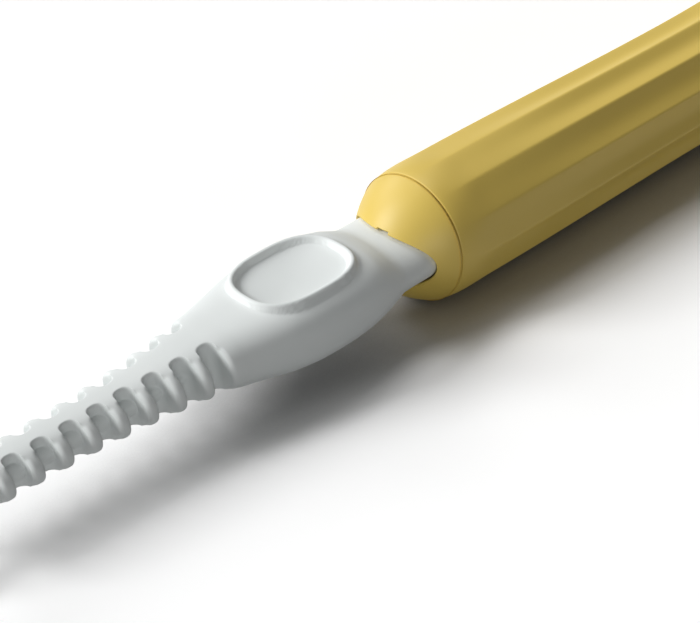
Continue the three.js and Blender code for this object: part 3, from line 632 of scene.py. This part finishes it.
def handle_r(x):
    """Radius of the handle over its ridges."""
    if x < TAIL_X[0]:
        return mix(SEAM_R, HANDLE_R, 1 - (1 - x / TAIL_X[0]) ** 2)
    if x < WAIST_X:
        return mix(HANDLE_R, WAIST_R, ease((x - TAIL_X[1]) / (WAIST_X - TAIL_X[1])))
    if x < SWELL_X[0]:
        return mix(WAIST_R, HANDLE_R, ease((x - WAIST_X) / (SWELL_X[0] - WAIST_X)))
    return mix(HANDLE_R, NOSE_R, ease((x - SWELL_X[1]) / (HANDLE_L - SWELL_X[1])))


def flute_depth(x):
    start, flat, full = FLUTE_X
    grown = FLUTE_FLAT * ease((x - start) / (flat - start))
    grown += (1 - FLUTE_FLAT) * ease((x - flat) / (full - flat))
    return FLUTE_D * grown * (1 - ease((x - FADE_X[0]) / (FADE_X[1] - FADE_X[0])))


def shell_place(station, angle):
    x, r, fluted = station
    if fluted:
        across = abs(math.sin(RIBS / 2 * (angle - math.pi / 2)))
        scoop = (math.hypot(across, RIDGE) - RIDGE) / (math.hypot(1, RIDGE) - RIDGE)
        r -= flute_depth(x) * scoop
    return at(x, r * math.cos(angle), r * math.sin(angle))


EDGE = 0.22  # rounding of the parting line's edges
NOSE_EDGE = 0.7
NOSE_SEAT_L = 2.4
shell_run = []
for i in reversed(range(5)):
    turn = math.radians(22.5 * i)
    x = SEAM_GAP + EDGE * (1 - math.sin(turn))
    shell_run.append((x, handle_r(x) - EDGE * (1 - math.cos(turn)), True))
x = SEAM_GAP + EDGE
while x < HANDLE_L - 1.2:
    x += 1.2 if x < 20 else 2.0
    shell_run.append((min(x, HANDLE_L - 1.0), handle_r(min(x, HANDLE_L - 1.0)), True))
for i in range(1, 7):
    turn = math.radians(15 * i)
    x = HANDLE_L - NOSE_EDGE + NOSE_EDGE * math.sin(turn)
    shell_run.append((x, NOSE_R - NOSE_EDGE * (1 - math.cos(turn)), True))
shell_run += [
    (HANDLE_L, NOSE_SEAT_R + 0.15, False),
    (HANDLE_L - 0.15, NOSE_SEAT_R, False),
    (HANDLE_L - NOSE_SEAT_L, NOSE_SEAT_R, False),
    (HANDLE_L - NOSE_SEAT_L, NECK_R, False),
    (146, NECK_R, False),
    (128, BORE_R, False),
    (60, BORE_R, False),
    (SEAM_GAP, BORE_R, False),
]


def carve(made, cutter):
    """Takes the cutter's mesh out of a piece."""
    mesh = bpy.data.meshes.new("cutter")
    cutter.to_mesh(mesh)
    cutter.free()
    tool = bpy.data.objects.new("cutter", mesh)
    scene.collection.objects.link(tool)
    cut = made.modifiers.new("cut", "BOOLEAN")
    cut.object = tool
    cut.solver = "EXACT"
    graph = bpy.context.evaluated_depsgraph_get()
    result = bpy.data.meshes.new_from_object(made.evaluated_get(graph))
    made.modifiers.clear()
    old = made.data
    made.data = result
    bpy.data.meshes.remove(old)
    bpy.data.objects.remove(tool)
    bpy.data.meshes.remove(mesh)
    bm = bmesh.new()
    bm.from_mesh(result)
    for edge in bm.edges:
        edge.smooth = not (edge.is_manifold and edge.calc_face_angle() > math.radians(40))
    for face in bm.faces:
        face.smooth = True
    bm.to_mesh(result)
    bm.free()
    result.name = made.name


def prism(sides, outline_r, low, high, x):
    """An upright prism with the outline's distance from its middle at each angle."""

    def place(z, angle):
        r = outline_r(angle)
        return at(x + r * math.cos(angle), r * math.sin(angle), z)

    return skin(sides, (low, high), place)


BUTTON_X = 84
BUTTON_A = 7.4
BUTTON_B = 4.7
BUTTON_N = 2.4  # squareness
BUTTON_PLAY = 0.3
PIPE_X = 98.3
PIPE_HOLE_R = 1.5
satin = Finish("satin_yellow")
coords = satin.coords()
tone = satin.spot(60, 3, coords)
grain = satin.spot(4200, 2, coords)
satin.surface(
    Base_Color=satin.mix(tone, (0.71, 0.51, 0.10), (0.76, 0.56, 0.12)),
    Roughness=0.40 + 0.1 * grain,
    Normal=satin.bump(grain, 0.00001),
)
shell = piece(
    skin(RIBS * 24, shell_run, shell_place, closed=True),
    "fluted_handle",
    "handle",
    satin,
    "yellow_plastic",
    "handle_shell",
)
WINDOW = (BUTTON_A + BUTTON_PLAY, BUTTON_B + BUTTON_PLAY, BUTTON_N)
carve(shell, prism(64, lambda a: oval_r(a, *WINDOW), 4.8, 14, BUTTON_X))
carve(shell, prism(32, lambda a: PIPE_HOLE_R, 5.8, 14, PIPE_X))

# End cap: a smooth dome of the same moulding, with the oval charging socket sunk in it.
# A spigot with a sealing ring pushes it into the tail, and a thin parting line is left.
DOME_L = 10.03
DOME_P = 1.17  # roundness of the dome
MOUTH = (9.1, 5.0, 2.1)  # half width, half height and squareness
KEY_Y = -0.7  # key notch in the mouth's upper edge
KEY_W = 2.2
KEY_TOP = 5.32
KEY_SIDE = 0.24  # slope of its sides
LIP = 0.3
SPIGOT_R = 8.5
SPIGOT_BORE_R = 6.0
GROOVE_R = 7.35  # for the sealing ring


def dome_x(r):
    return -DOME_L * max(1 - (r / SEAM_R) ** 2, 0) ** (1 / DOME_P)


def mouth_r(angle, keyed):
    """Distance from the middle of the socket to its wall, with the key notch or without."""
    r = oval_r(angle, *MOUTH)
    if keyed and math.sin(angle) > 0.5:
        key = KEY_TOP / math.sin(angle)
        y = r * math.cos(angle)
        side = KEY_W / 2 - abs(y - KEY_Y)
        r = mix(r, max(key, r), ease(side / KEY_SIDE + 0.5))
    return r


def cap_place(station, angle):
    kind, s = station
    keyed = kind != "bare"
    r = mouth_r(angle, keyed)
    lip_x = dome_x(r + LIP) + LIP
    if kind in ("bare", "wall"):
        x = mix(-1, lip_x, s)
    elif kind == "lip":
        r += LIP * (1 - math.cos(s * math.pi / 2))
        x = lip_x - LIP * math.sin(s * math.pi / 2)
    elif kind == "dome":
        r = mix(r + LIP, SEAM_R - 0.02, s)
        x = dome_x(r)
    else:
        x, r = s
    return at(x, r * math.cos(angle), r * math.sin(angle))


cap_run = [("bare", s) for s in (0.0, 0.3, 0.5)]
cap_run += [("wall", s) for s in (0.5, 0.8, 0.95)]
cap_run += [("lip", i / 4) for i in range(5)]
cap_run += [("dome", 1 - (1 - i / 30) ** 1.6) for i in range(1, 30)]
for i in range(4):
    turn = math.radians(30 * i)
    x = -SEAM_GAP - EDGE * (1 - math.sin(turn))
    cap_run.append(("ring", (x, SEAM_R - EDGE * (1 - math.cos(turn)))))
cap_run += [
    ("ring", (-SEAM_GAP, SPIGOT_R)),
    ("ring", (2.7, SPIGOT_R)),
    ("ring", (2.7, GROOVE_R)),
    ("ring", (4.3, GROOVE_R)),
    ("ring", (4.3, SPIGOT_R)),
    ("ring", (6.7, SPIGOT_R)),
    ("ring", (7.0, SPIGOT_R - 0.3)),
    ("ring", (7.0, SPIGOT_BORE_R)),
    ("ring", (0.6, SPIGOT_BORE_R)),
]
piece(
    skin(240, cap_run, cap_place), "socket_cap", "handle", satin, "yellow_plastic", "end_cap"
)

# Power button: a soft white pad in an oval window on top of the handle, dished for the finger.
# It is moulded with a flange that keeps it in, and presses a plunger on the switch.
BUTTON_TOP = handle_r(BUTTON_X) + 0.35
BUTTON_EDGE = 0.6
FLANGE_GROW = 1.2
FLANGE_FOOT = 5.35
FLANGE_TOP = 6.15
hard_white = Finish("satin_white")
coords = hard_white.coords()
tone = hard_white.spot(80, 3, coords)
grain = hard_white.spot(4500, 2, coords)
hard_white.surface(
    Base_Color=hard_white.mix(tone, (0.76, 0.78, 0.77), (0.81, 0.83, 0.82)),
    Roughness=0.34 + 0.1 * grain,
    Normal=hard_white.bump(grain, 0.000008),
)
button_run = [(FLANGE_FOOT, FLANGE_GROW), (FLANGE_TOP, FLANGE_GROW), (FLANGE_TOP, 0)]
for i in range(7):
    turn = math.radians(15 * i)
    z = BUTTON_TOP - BUTTON_EDGE * (1 - math.sin(turn))
    button_run.append((z, -BUTTON_EDGE * (1 - math.cos(turn))))
button_run += [(BUTTON_TOP - 0.1, -1.2), (BUTTON_TOP - 0.3, -2.2), (BUTTON_TOP - 0.42, -3.4)]


def button_place(station, angle):
    z, grow = station
    r = oval_r(angle, BUTTON_A + grow, BUTTON_B + grow, BUTTON_N)
    return at(BUTTON_X + r * math.cos(angle), r * math.sin(angle), z)


piece(
    skin(72, button_run, button_place),
    "button_pad",
    "button",
    hard_white,
    "white_plastic",
    "power_button",
)


# Nose ring: a white bush pressed into the nose round the steel drive shaft.
# Turned to a plain ring with its edges broken.
def turned(profile, sides=64):
    """Spins a closed profile of (x, radius) points about the handle's axis."""
    bm = bmesh.new()
    points = [bm.verts.new(at(x, 0, r)) for x, r in profile]
    for a, b in zip(points, points[1:] + points[:1]):
        bm.edges.new((a, b))
    bmesh.ops.spin(
        bm,
        geom=bm.verts[:] + bm.edges[:],
        cent=at(0),
        axis=(1, 0, 0),
        angle=math.tau,
        steps=sides,
        use_merge=True,
    )
    bmesh.ops.remove_doubles(bm, verts=bm.verts, dist=1e-7)
    bmesh.ops.recalc_face_normals(bm, faces=bm.faces)
    return bm


def ring_profile(x0, x1, inner, outer, edge):
    """A rectangle in x and radius with its four corners rounded."""
    corners = [(x0, inner, 180), (x1, inner, 270), (x1, outer, 0), (x0, outer, 90)]
    points = []
    for x, r, start in corners:
        mx = x + (edge if x == x0 else -edge)
        mr = r + (edge if r == inner else -edge)
        for i in range(5):
            turn = math.radians(start + 22.5 * i)
            points.append((mx + edge * math.cos(turn), mr + edge * math.sin(turn)))
    return points


piece(
    turned(ring_profile(HANDLE_L - 2.1, HANDLE_L + 1.2, 2.6, 6.0, 0.3)),
    "nose_bush",
    "handle",
    hard_white,
    "white_plastic",
    "nose_ring",
)

# Brush head: a white stem with a yellow ring, pushed onto the shaft and held by a spring clip.
# It is one hollow moulding that narrows to a neck and widens into the bristle plate.
HEAD_X = HANDLE_L + 2.4
HEAD_L = 78
SHOULDER_L = 36  # from the foot of the stem to the neck
NECK_L = 22
SHOULDER_HALF = 2.9
NECK_HALF = 2.5
PLATE_A = 13
PLATE_B = 5.9
PLATE_N = 2.5  # squareness
PLATE_TOP = 2.0
PLATE_FOOT = -2.1
PLATE_X = HEAD_X + HEAD_L - PLATE_A
RING_X = HEAD_X + 1.6
RING_W = 2
RING_PLAY = 0.3
RING_SEAT = 0.89  # share of the stem's size that is left under the ring
STEM_EDGE = 0.6
BASE_R = 6.5
FIELD_A = PLATE_A - 0.9
FIELD_B = PLATE_B - 0.9


def head_half(x):
    """Half width, top, bottom and squareness of the head at x."""
    t = (x - HEAD_X) / SHOULDER_L
    if t > 1:
        neck = mix(SHOULDER_HALF, NECK_HALF, min((x - HEAD_X - SHOULDER_L) / NECK_L, 1))
    else:
        neck = mix(BASE_R, SHOULDER_HALF, ease(0.08 + 0.92 * max(t - 0.11, 0) / 0.89))
    flow = ease((x - PLATE_X + PLATE_A + 5) / 9)
    d = (x - PLATE_X) / PLATE_A
    plate = PLATE_B * max(1 - abs(d) ** PLATE_N, 0) ** (1 / PLATE_N)
    wide = mix(neck, max(plate, 0.4), flow)
    if x > PLATE_X - PLATE_A * 0.6:
        wide = max(plate, 0.25)
    return wide, mix(neck, PLATE_TOP, flow), mix(neck, -PLATE_FOOT, flow), mix(2, 3.2, flow)


stem_x = [HEAD_X + STEM_EDGE * (1 - math.cos(math.radians(18 * i))) for i in range(6)]
stem_x += [HEAD_X + 0.8, RING_X - RING_PLAY]
stem_run = [(x, 1 - 0.08 * (1 - min((x - HEAD_X) / STEM_EDGE, 1)) ** 2) for x in stem_x]
x = RING_X + RING_W + RING_PLAY
stem_run += [(RING_X - RING_PLAY, RING_SEAT), (x, RING_SEAT)]
while x < PLATE_X + PLATE_A * 0.9:
    stem_run.append((x, 1))
    x += 0.9
for i in range(9):
    stem_run.append((PLATE_X + PLATE_A * (0.9 + 0.1 * math.sin(math.radians(10 * i + 8))), 1))


def stem_place(station, angle):
    x, part = station
    wide, up, down, n = head_half(x)
    r = part * oval_r(angle, wide, up if math.sin(angle) > 0 else down, n)
    return at(x, r * math.cos(angle), r * math.sin(angle))


stem = piece(
    skin(72, stem_run, stem_place),
    "brush_stem",
    "brush_head",
    hard_white,
    "white_plastic",
    "head_stem",
)


def bar_x(sides, low, high, r):
    """A round bar along the handle's axis."""

    def place(x, angle):
        return at(x, r * math.cos(angle), r * math.sin(angle))

    return skin(sides, (low, high), place)


carve(stem, bar_x(40, HEAD_X - 1, HANDLE_L + 22, 2.3))
carve(stem, prism(80, lambda a: oval_r(a, FIELD_A, FIELD_B, PLATE_N), 0.9, 4, PLATE_X))
piece(
    turned(ring_profile(RING_X, RING_X + RING_W, BASE_R - 0.4, BASE_R + 0.25, 0.25)),
    "stem_ring",
    "brush_head",
    satin,
    "yellow_plastic",
    "head_ring",
)

# Bristles: tufts of fine nylon filaments stapled into the plate, a white ring round a yellow field.
# Each filament is end rounded, and the field is trimmed a little lower than the ring.
BRISTLE_TOP = PLATE_TOP + 10
TUFT_PITCH = 2.1
INNER_A = FIELD_A - TUFT_PITCH - 0.3
INNER_B = FIELD_B - TUFT_PITCH - 0.3
random.seed(4)


def tuft(height, radius=0.82, strand=0.085):
    """A round bundle of filaments, standing on the origin at the plate's recess."""
    bm = bmesh.new()
    ring = 0
    while ring * 2.05 * strand < radius:
        around = max(1, round(math.tau * ring))
        reach = ring * 2.05 * strand
        for k in range(around):
            turn = math.tau * k / around + ring
            out = Vector((math.cos(turn), math.sin(turn), 0))
            top = height - 0.35 * random.random() - 0.25 * (reach / radius) ** 2
            made = bmesh.ops.create_cone(
                bm,
                cap_ends=True,
                segments=5,
                radius1=strand * MM,
                radius2=strand * MM,
                depth=top * MM,
                matrix=Matrix.Translation((out * reach + Vector((0, 0, top / 2))) * MM),
            )
            for v in made["verts"]:
                if v.co.z > 0.5 * top * MM:
                    v.co += out * reach * 0.1 * MM
        ring += 1
    tips = [f for f in bm.faces if f.normal.z > 0.9]
    for tip in tips:
        bmesh.ops.inset_individual(bm, faces=[tip], thickness=0.4 * strand * MM, depth=0.08 * MM)
    mesh = bpy.data.meshes.new("tuft")
    bm.to_mesh(mesh)
    bm.free()
    return mesh


def planted(spots, height):
    """Tufts of that height, set at each spot and turned at random."""
    bm = bmesh.new()
    bundle = tuft(height - 1.2)
    for x, y in spots:
        done = len(bm.verts)
        bm.from_mesh(bundle)
        bm.verts.ensure_lookup_table()
        fresh = bm.verts[done:]
        spin = Matrix.Rotation(random.random() * math.tau, 3, "Z")
        bmesh.ops.rotate(bm, verts=fresh, cent=(0, 0, 0), matrix=spin)
        bmesh.ops.translate(bm, verts=fresh, vec=at(x, y, 1.2))
    bpy.data.meshes.remove(bundle)
    return bm


def nylon(name, low, high):
    made = Finish(name)
    coords = made.coords()
    streak = made.spot(3000, 2, coords, (1, 1, 0.05))
    made.surface(
        Base_Color=made.mix(streak, low, high),
        Roughness=0.3 + 0.2 * streak,
        Subsurface_Weight=0.15,
        Subsurface_Scale=0.0004,
    )
    return made


inner_spots = []
tuft_r = 0.78
rows = int((INNER_A - tuft_r) / TUFT_PITCH)
for i in range(-rows, rows + 1):
    reach = (abs(i) * TUFT_PITCH + tuft_r) / INNER_A
    side = INNER_B * (1 - reach**PLATE_N) ** (1 / PLATE_N) - tuft_r - 0.1
    for y in (-side, 0, side) if side > 2 * tuft_r else (0,):
        inner_spots.append((PLATE_X + i * TUFT_PITCH, y))
LANE_IN = 1.05  # from the edge of the recess to the middle of the outer tufts
lane = []
for i in range(721):
    a = math.tau * i / 720
    r = oval_r(a, FIELD_A - LANE_IN, FIELD_B - LANE_IN, PLATE_N)
    lane.append(Vector((r * math.cos(a), r * math.sin(a))))
walk = [0.0]
for a, b in zip(lane, lane[1:]):
    walk.append(walk[-1] + (b - a).length)
outer_count = int(walk[-1] / TUFT_PITCH)
outer_spots = []
for p, w in zip(lane, walk):
    if w >= (len(outer_spots) + 0.5) * walk[-1] / outer_count:
        outer_spots.append((PLATE_X + p.x, p.y))
piece(
    planted(outer_spots, BRISTLE_TOP),
    "bristle_ring",
    "brush_head",
    nylon("white_nylon", (0.74, 0.77, 0.77), (0.84, 0.86, 0.86)),
    "white_plastic",
    "bristles_outer",
    sharp=60,
)
piece(
    planted(inner_spots, BRISTLE_TOP - 0.8),
    "bristle_field",
    "brush_head",
    nylon("yellow_nylon", (0.78, 0.56, 0.14), (0.88, 0.68, 0.22)),
    "yellow_plastic",
    "bristles_inner",
    sharp=60,
)

# Charging plug: one soft white overmould, from the flared nose in the socket to the comb end.
# A rolled bead frames a dished thumb pad, and slots in both sides lean back and leave rounded
# ribs on a slim core that bends with the lead.
PLUG = [  # x, half width, height above and below the axis, squareness
    (-2.8, 8.8, 4.7, 4.7, 2.1),
    (-9.8, 8.8, 4.65, 5.1, 2.1),
    (-11.4, 9.0, 4.8, 5.8, 2.2),
    (-13.2, 9.35, 5.4, 6.35, 2.4),
    (-15.5, 9.75, 6.05, 6.6, 2.7),
    (-19.0, 10.2, 6.5, 6.75, 3.0),
    (-24.0, 10.45, 6.65, 6.9, 3.2),
    (-30.0, 10.4, 6.65, 6.9, 3.2),
    (-35.0, 9.85, 6.4, 6.65, 3.1),
    (-39.5, 9.0, 6.0, 6.1, 2.9),
    (-44.0, 8.1, 5.6, 5.6, 2.7),
    (-48.0, 7.4, 5.25, 5.25, 2.6),
    (-53.0, 6.85, 4.9, 4.9, 2.6),
    (-58.0, 6.3, 4.5, 4.7, 2.5),
    (-65.0, 5.65, 4.0, 4.3, 2.45),
    (-75.0, 5.15, 3.65, 4.0, 2.4),
    (-84.0, 4.95, 3.5, 3.85, 2.4),
    (COMB_END, 4.85, 3.4, 3.7, 2.4),
]
COMB_FIRST = -49.5
COMB_PITCH = 5.33
COMB_SPREAD = 0.04  # growth of the pitch with each slot
COMB_LEAN = 0.2  # the slots lean back towards the top
SLOTS = 9
SLOT_R = 1.75
SLOT_N = 2.3  # squareness of the slots' ends
WEB = (2.8, 1.2, 3)  # half width at the first slot, further on, and the slots between
CORE = (2.7, 1.75, 2.7, 2.0)  # half width, height above and below, squareness
RIB_EDGE = 0.85  # rounding of the ribs
PAD_X = -27.8
PAD = (10.5, 7.2, 2.65)  # half length, half width and squareness, at the middle of the bead
PAD_REACH = 14
PAD_FOOT = 2  # the pad shapes nothing below this height
PAD_SPAN = (-42, -14.5)  # finer steps along the pad
BEAD_R = 0.62
BEAD_FALL = 5  # slope of its flanks
BEAD_BLEND = 0.22
BEAD_REACH = 2.2
PAD_Z = 7.1
DISH_Z = 5.35
DISH_RISE = 0.8


def plug_half(x):
    """Half width, height above and below, and squareness of the plug at x, run smoothly."""
    k = 0
    while k < len(PLUG) - 2 and x < PLUG[k + 1][0]:
        k += 1
    a, b = PLUG[k], PLUG[k + 1]
    before = PLUG[max(k - 1, 0)]
    after = PLUG[min(k + 2, len(PLUG) - 1)]
    span = b[0] - a[0]
    t = (x - a[0]) / span
    values = []
    for c in range(1, 5):
        slope_in = (b[c] - before[c]) / (b[0] - before[0]) * span
        slope_out = (after[c] - a[c]) / (after[0] - a[0]) * span
        values.append(
            a[c] * (1 + 2 * t) * (1 - t) ** 2
            + slope_in * t * (1 - t) ** 2
            + b[c] * t * t * (3 - 2 * t)
            + slope_out * t * t * (t - 1)
        )
    return values


def soft_min(a, b, k):
    """The smaller of two values, blended where they are less than k apart."""
    h = max(k - abs(a - b), 0) / k
    return min(a, b) - h * h * k / 4


def soft_max(a, b, k):
    return -soft_min(-a, -b, k)


def web(k):
    """Half width of the spine between the two rows of slots, at slot k."""
    first, later, over = WEB
    return mix(first, later, min(k / over, 1))


def slot_r(r, angle, half):
    """Distance to the floor of a slot whose web has that half width."""
    wide, up, down, n = CORE
    core = oval_r(angle, wide, up if math.sin(angle) > 0 else down, n)
    c = abs(math.cos(angle))
    wall = half / c if c > 1e-6 else 1e6
    return min(soft_max(core, soft_min(r, wall, 0.5), 0.15), r)


def pad_z(x, y, z):
    """Height of the moulding over a point: the skin, the bead and the dish in it."""
    dx = x - PAD_X
    if abs(dx) > PAD_REACH or z < PAD_FOOT:
        return z
    a, b, n = PAD
    u = (abs(dx / a) ** n + abs(y / b) ** n) ** (1 / n)
    if u < 0.05:
        d = -b
    else:
        gx = abs(dx / a) ** (n - 1) / a
        gy = abs(y / b) ** (n - 1) / b
        d = (u - 1) * u ** (n - 1) / math.hypot(gx, gy)
    if d > BEAD_REACH:
        return z
    roll = PAD_Z - BEAD_R + math.sqrt(max(BEAD_R**2 - d * d, 0))
    roll -= max(abs(d) - BEAD_R, 0) * BEAD_FALL
    if d < 0:
        return soft_max(DISH_Z + DISH_RISE * min(u, 1) ** 2, roll, BEAD_BLEND)
    return soft_max(z, roll, BEAD_BLEND)


def plug_place(station, angle):
    x, kind, k, d = station
    if kind == "cord":
        return at(x, d * math.cos(angle), d * math.sin(angle))
    a, up, down, n = plug_half(x)
    r = oval_r(angle, a, up if math.sin(angle) > 0 else down, n)
    if kind == "slot":
        round_end = max(1 - (abs(d) / SLOT_R) ** SLOT_N, 0) ** (1 / SLOT_N)
        r = slot_r(r, angle, web(k) + SLOT_R * (1 - round_end))
    elif kind == "rib":
        deep = r - slot_r(r, angle, web(k) + SLOT_R)
        r -= min(RIB_EDGE, deep) * (1 - math.sqrt(max(1 - (1 - d / RIB_EDGE) ** 2, 0)))
    elif kind == "end":
        r -= d
    y, z = r * math.cos(angle), r * math.sin(angle)
    if kind in ("slot", "rib"):
        x -= COMB_LEAN * z
    return at(x, y, pad_z(x, y, z))


plug_run = []
BODY_END = -45.5
x = PLUG[0][0]
while x > BODY_END:
    plug_run.append((x, "body", 0, 0))
    x -= 0.22 if PAD_SPAN[0] < x < PAD_SPAN[1] else 0.4
for k in range(SLOTS):
    mid = COMB_FIRST - k * (COMB_PITCH + COMB_SPREAD * k)
    for i in range(6):
        e = RIB_EDGE * (1 - math.sin(math.radians(18 * i)))
        plug_run.append((mid + SLOT_R + e, "rib", k, e))
    for i in range(17):
        d = SLOT_R * math.cos(math.pi * i / 16)
        plug_run.append((mid + d, "slot", k, d))
    for i in range(6):
        e = RIB_EDGE * (1 - math.cos(math.radians(18 * i)))
        plug_run.append((mid - SLOT_R - e, "rib", k, e))
for i in range(7):
    turn = math.radians(15 * i)
    plug_run.append((COMB_END + 1 - math.sin(turn), "end", 0, 1 - math.cos(turn)))
plug_run += [(COMB_END, "cord", 0, 1.9), (COMB_END + 0.3, "cord", 0, 1.55)]
piece(
    skin(180, plug_run, plug_place),
    "plug_moulding",
    "charging_lead",
    soft_white,
    "white_tpe",
    "plug_body",
    sharp=75,
)
dress(grey, "plug_insert")

# USB plug: a soft white grip over a folded steel shell with its black tongue.
# The grip is moulded over the end of the lead, with a short tapered relief.
USB_X = end[0] - TAIL - 0.3
USB_BODY = USB_X - 6
USB_END = USB_BODY - 20
USB_A = 7.8
USB_B = 3.9
USB_N = 5  # squareness
BACK_EDGE = 0.9
FRONT_EDGE = 0.8
GROOVE_PITCH = 2.2
GROOVE = ((0.7, 0), (0.45, 0.25), (0, 0.4), (-0.45, 0.25), (-0.7, 0))  # place and depth
usb_run = [(USB_X, 2.5, 2.4, 2.4), (USB_X - 0.4, 2.8, 2.7, 2.4), (USB_BODY + 0.2, 3.7, 2.9, 2.6)]
for i in range(7):
    turn = math.radians(15 * i)
    less = BACK_EDGE * (1 - math.sin(turn))
    x = USB_BODY - BACK_EDGE * (1 - math.cos(turn))
    usb_run.append((x, USB_A - less, USB_B - less, USB_N))
for groove in range(4):
    x = USB_BODY - 4 - GROOVE_PITCH * groove
    for off, deep in GROOVE:
        usb_run.append((x + off, USB_A - deep, USB_B - deep * 0.1, USB_N))
for i in range(7):
    turn = math.radians(15 * i)
    less = FRONT_EDGE * (1 - math.cos(turn))
    x = USB_END + FRONT_EDGE * (1 - math.sin(turn))
    usb_run.append((x, USB_A - less, USB_B - less, USB_N))


def usb_place(station, angle):
    x, a, b, n = station
    r = oval_r(angle, a, b, n)
    return at(x, USB_Y + r * math.cos(angle), USB_Z + r * math.sin(angle))


grip = piece(
    skin(96, usb_run, usb_place),
    "usb_grip",
    "charging_lead",
    soft_white,
    "white_tpe",
    "usb_overmould",
)
dress(bright, "usb_shell")
dress(black, "usb_tongue")

at(COMB_END)
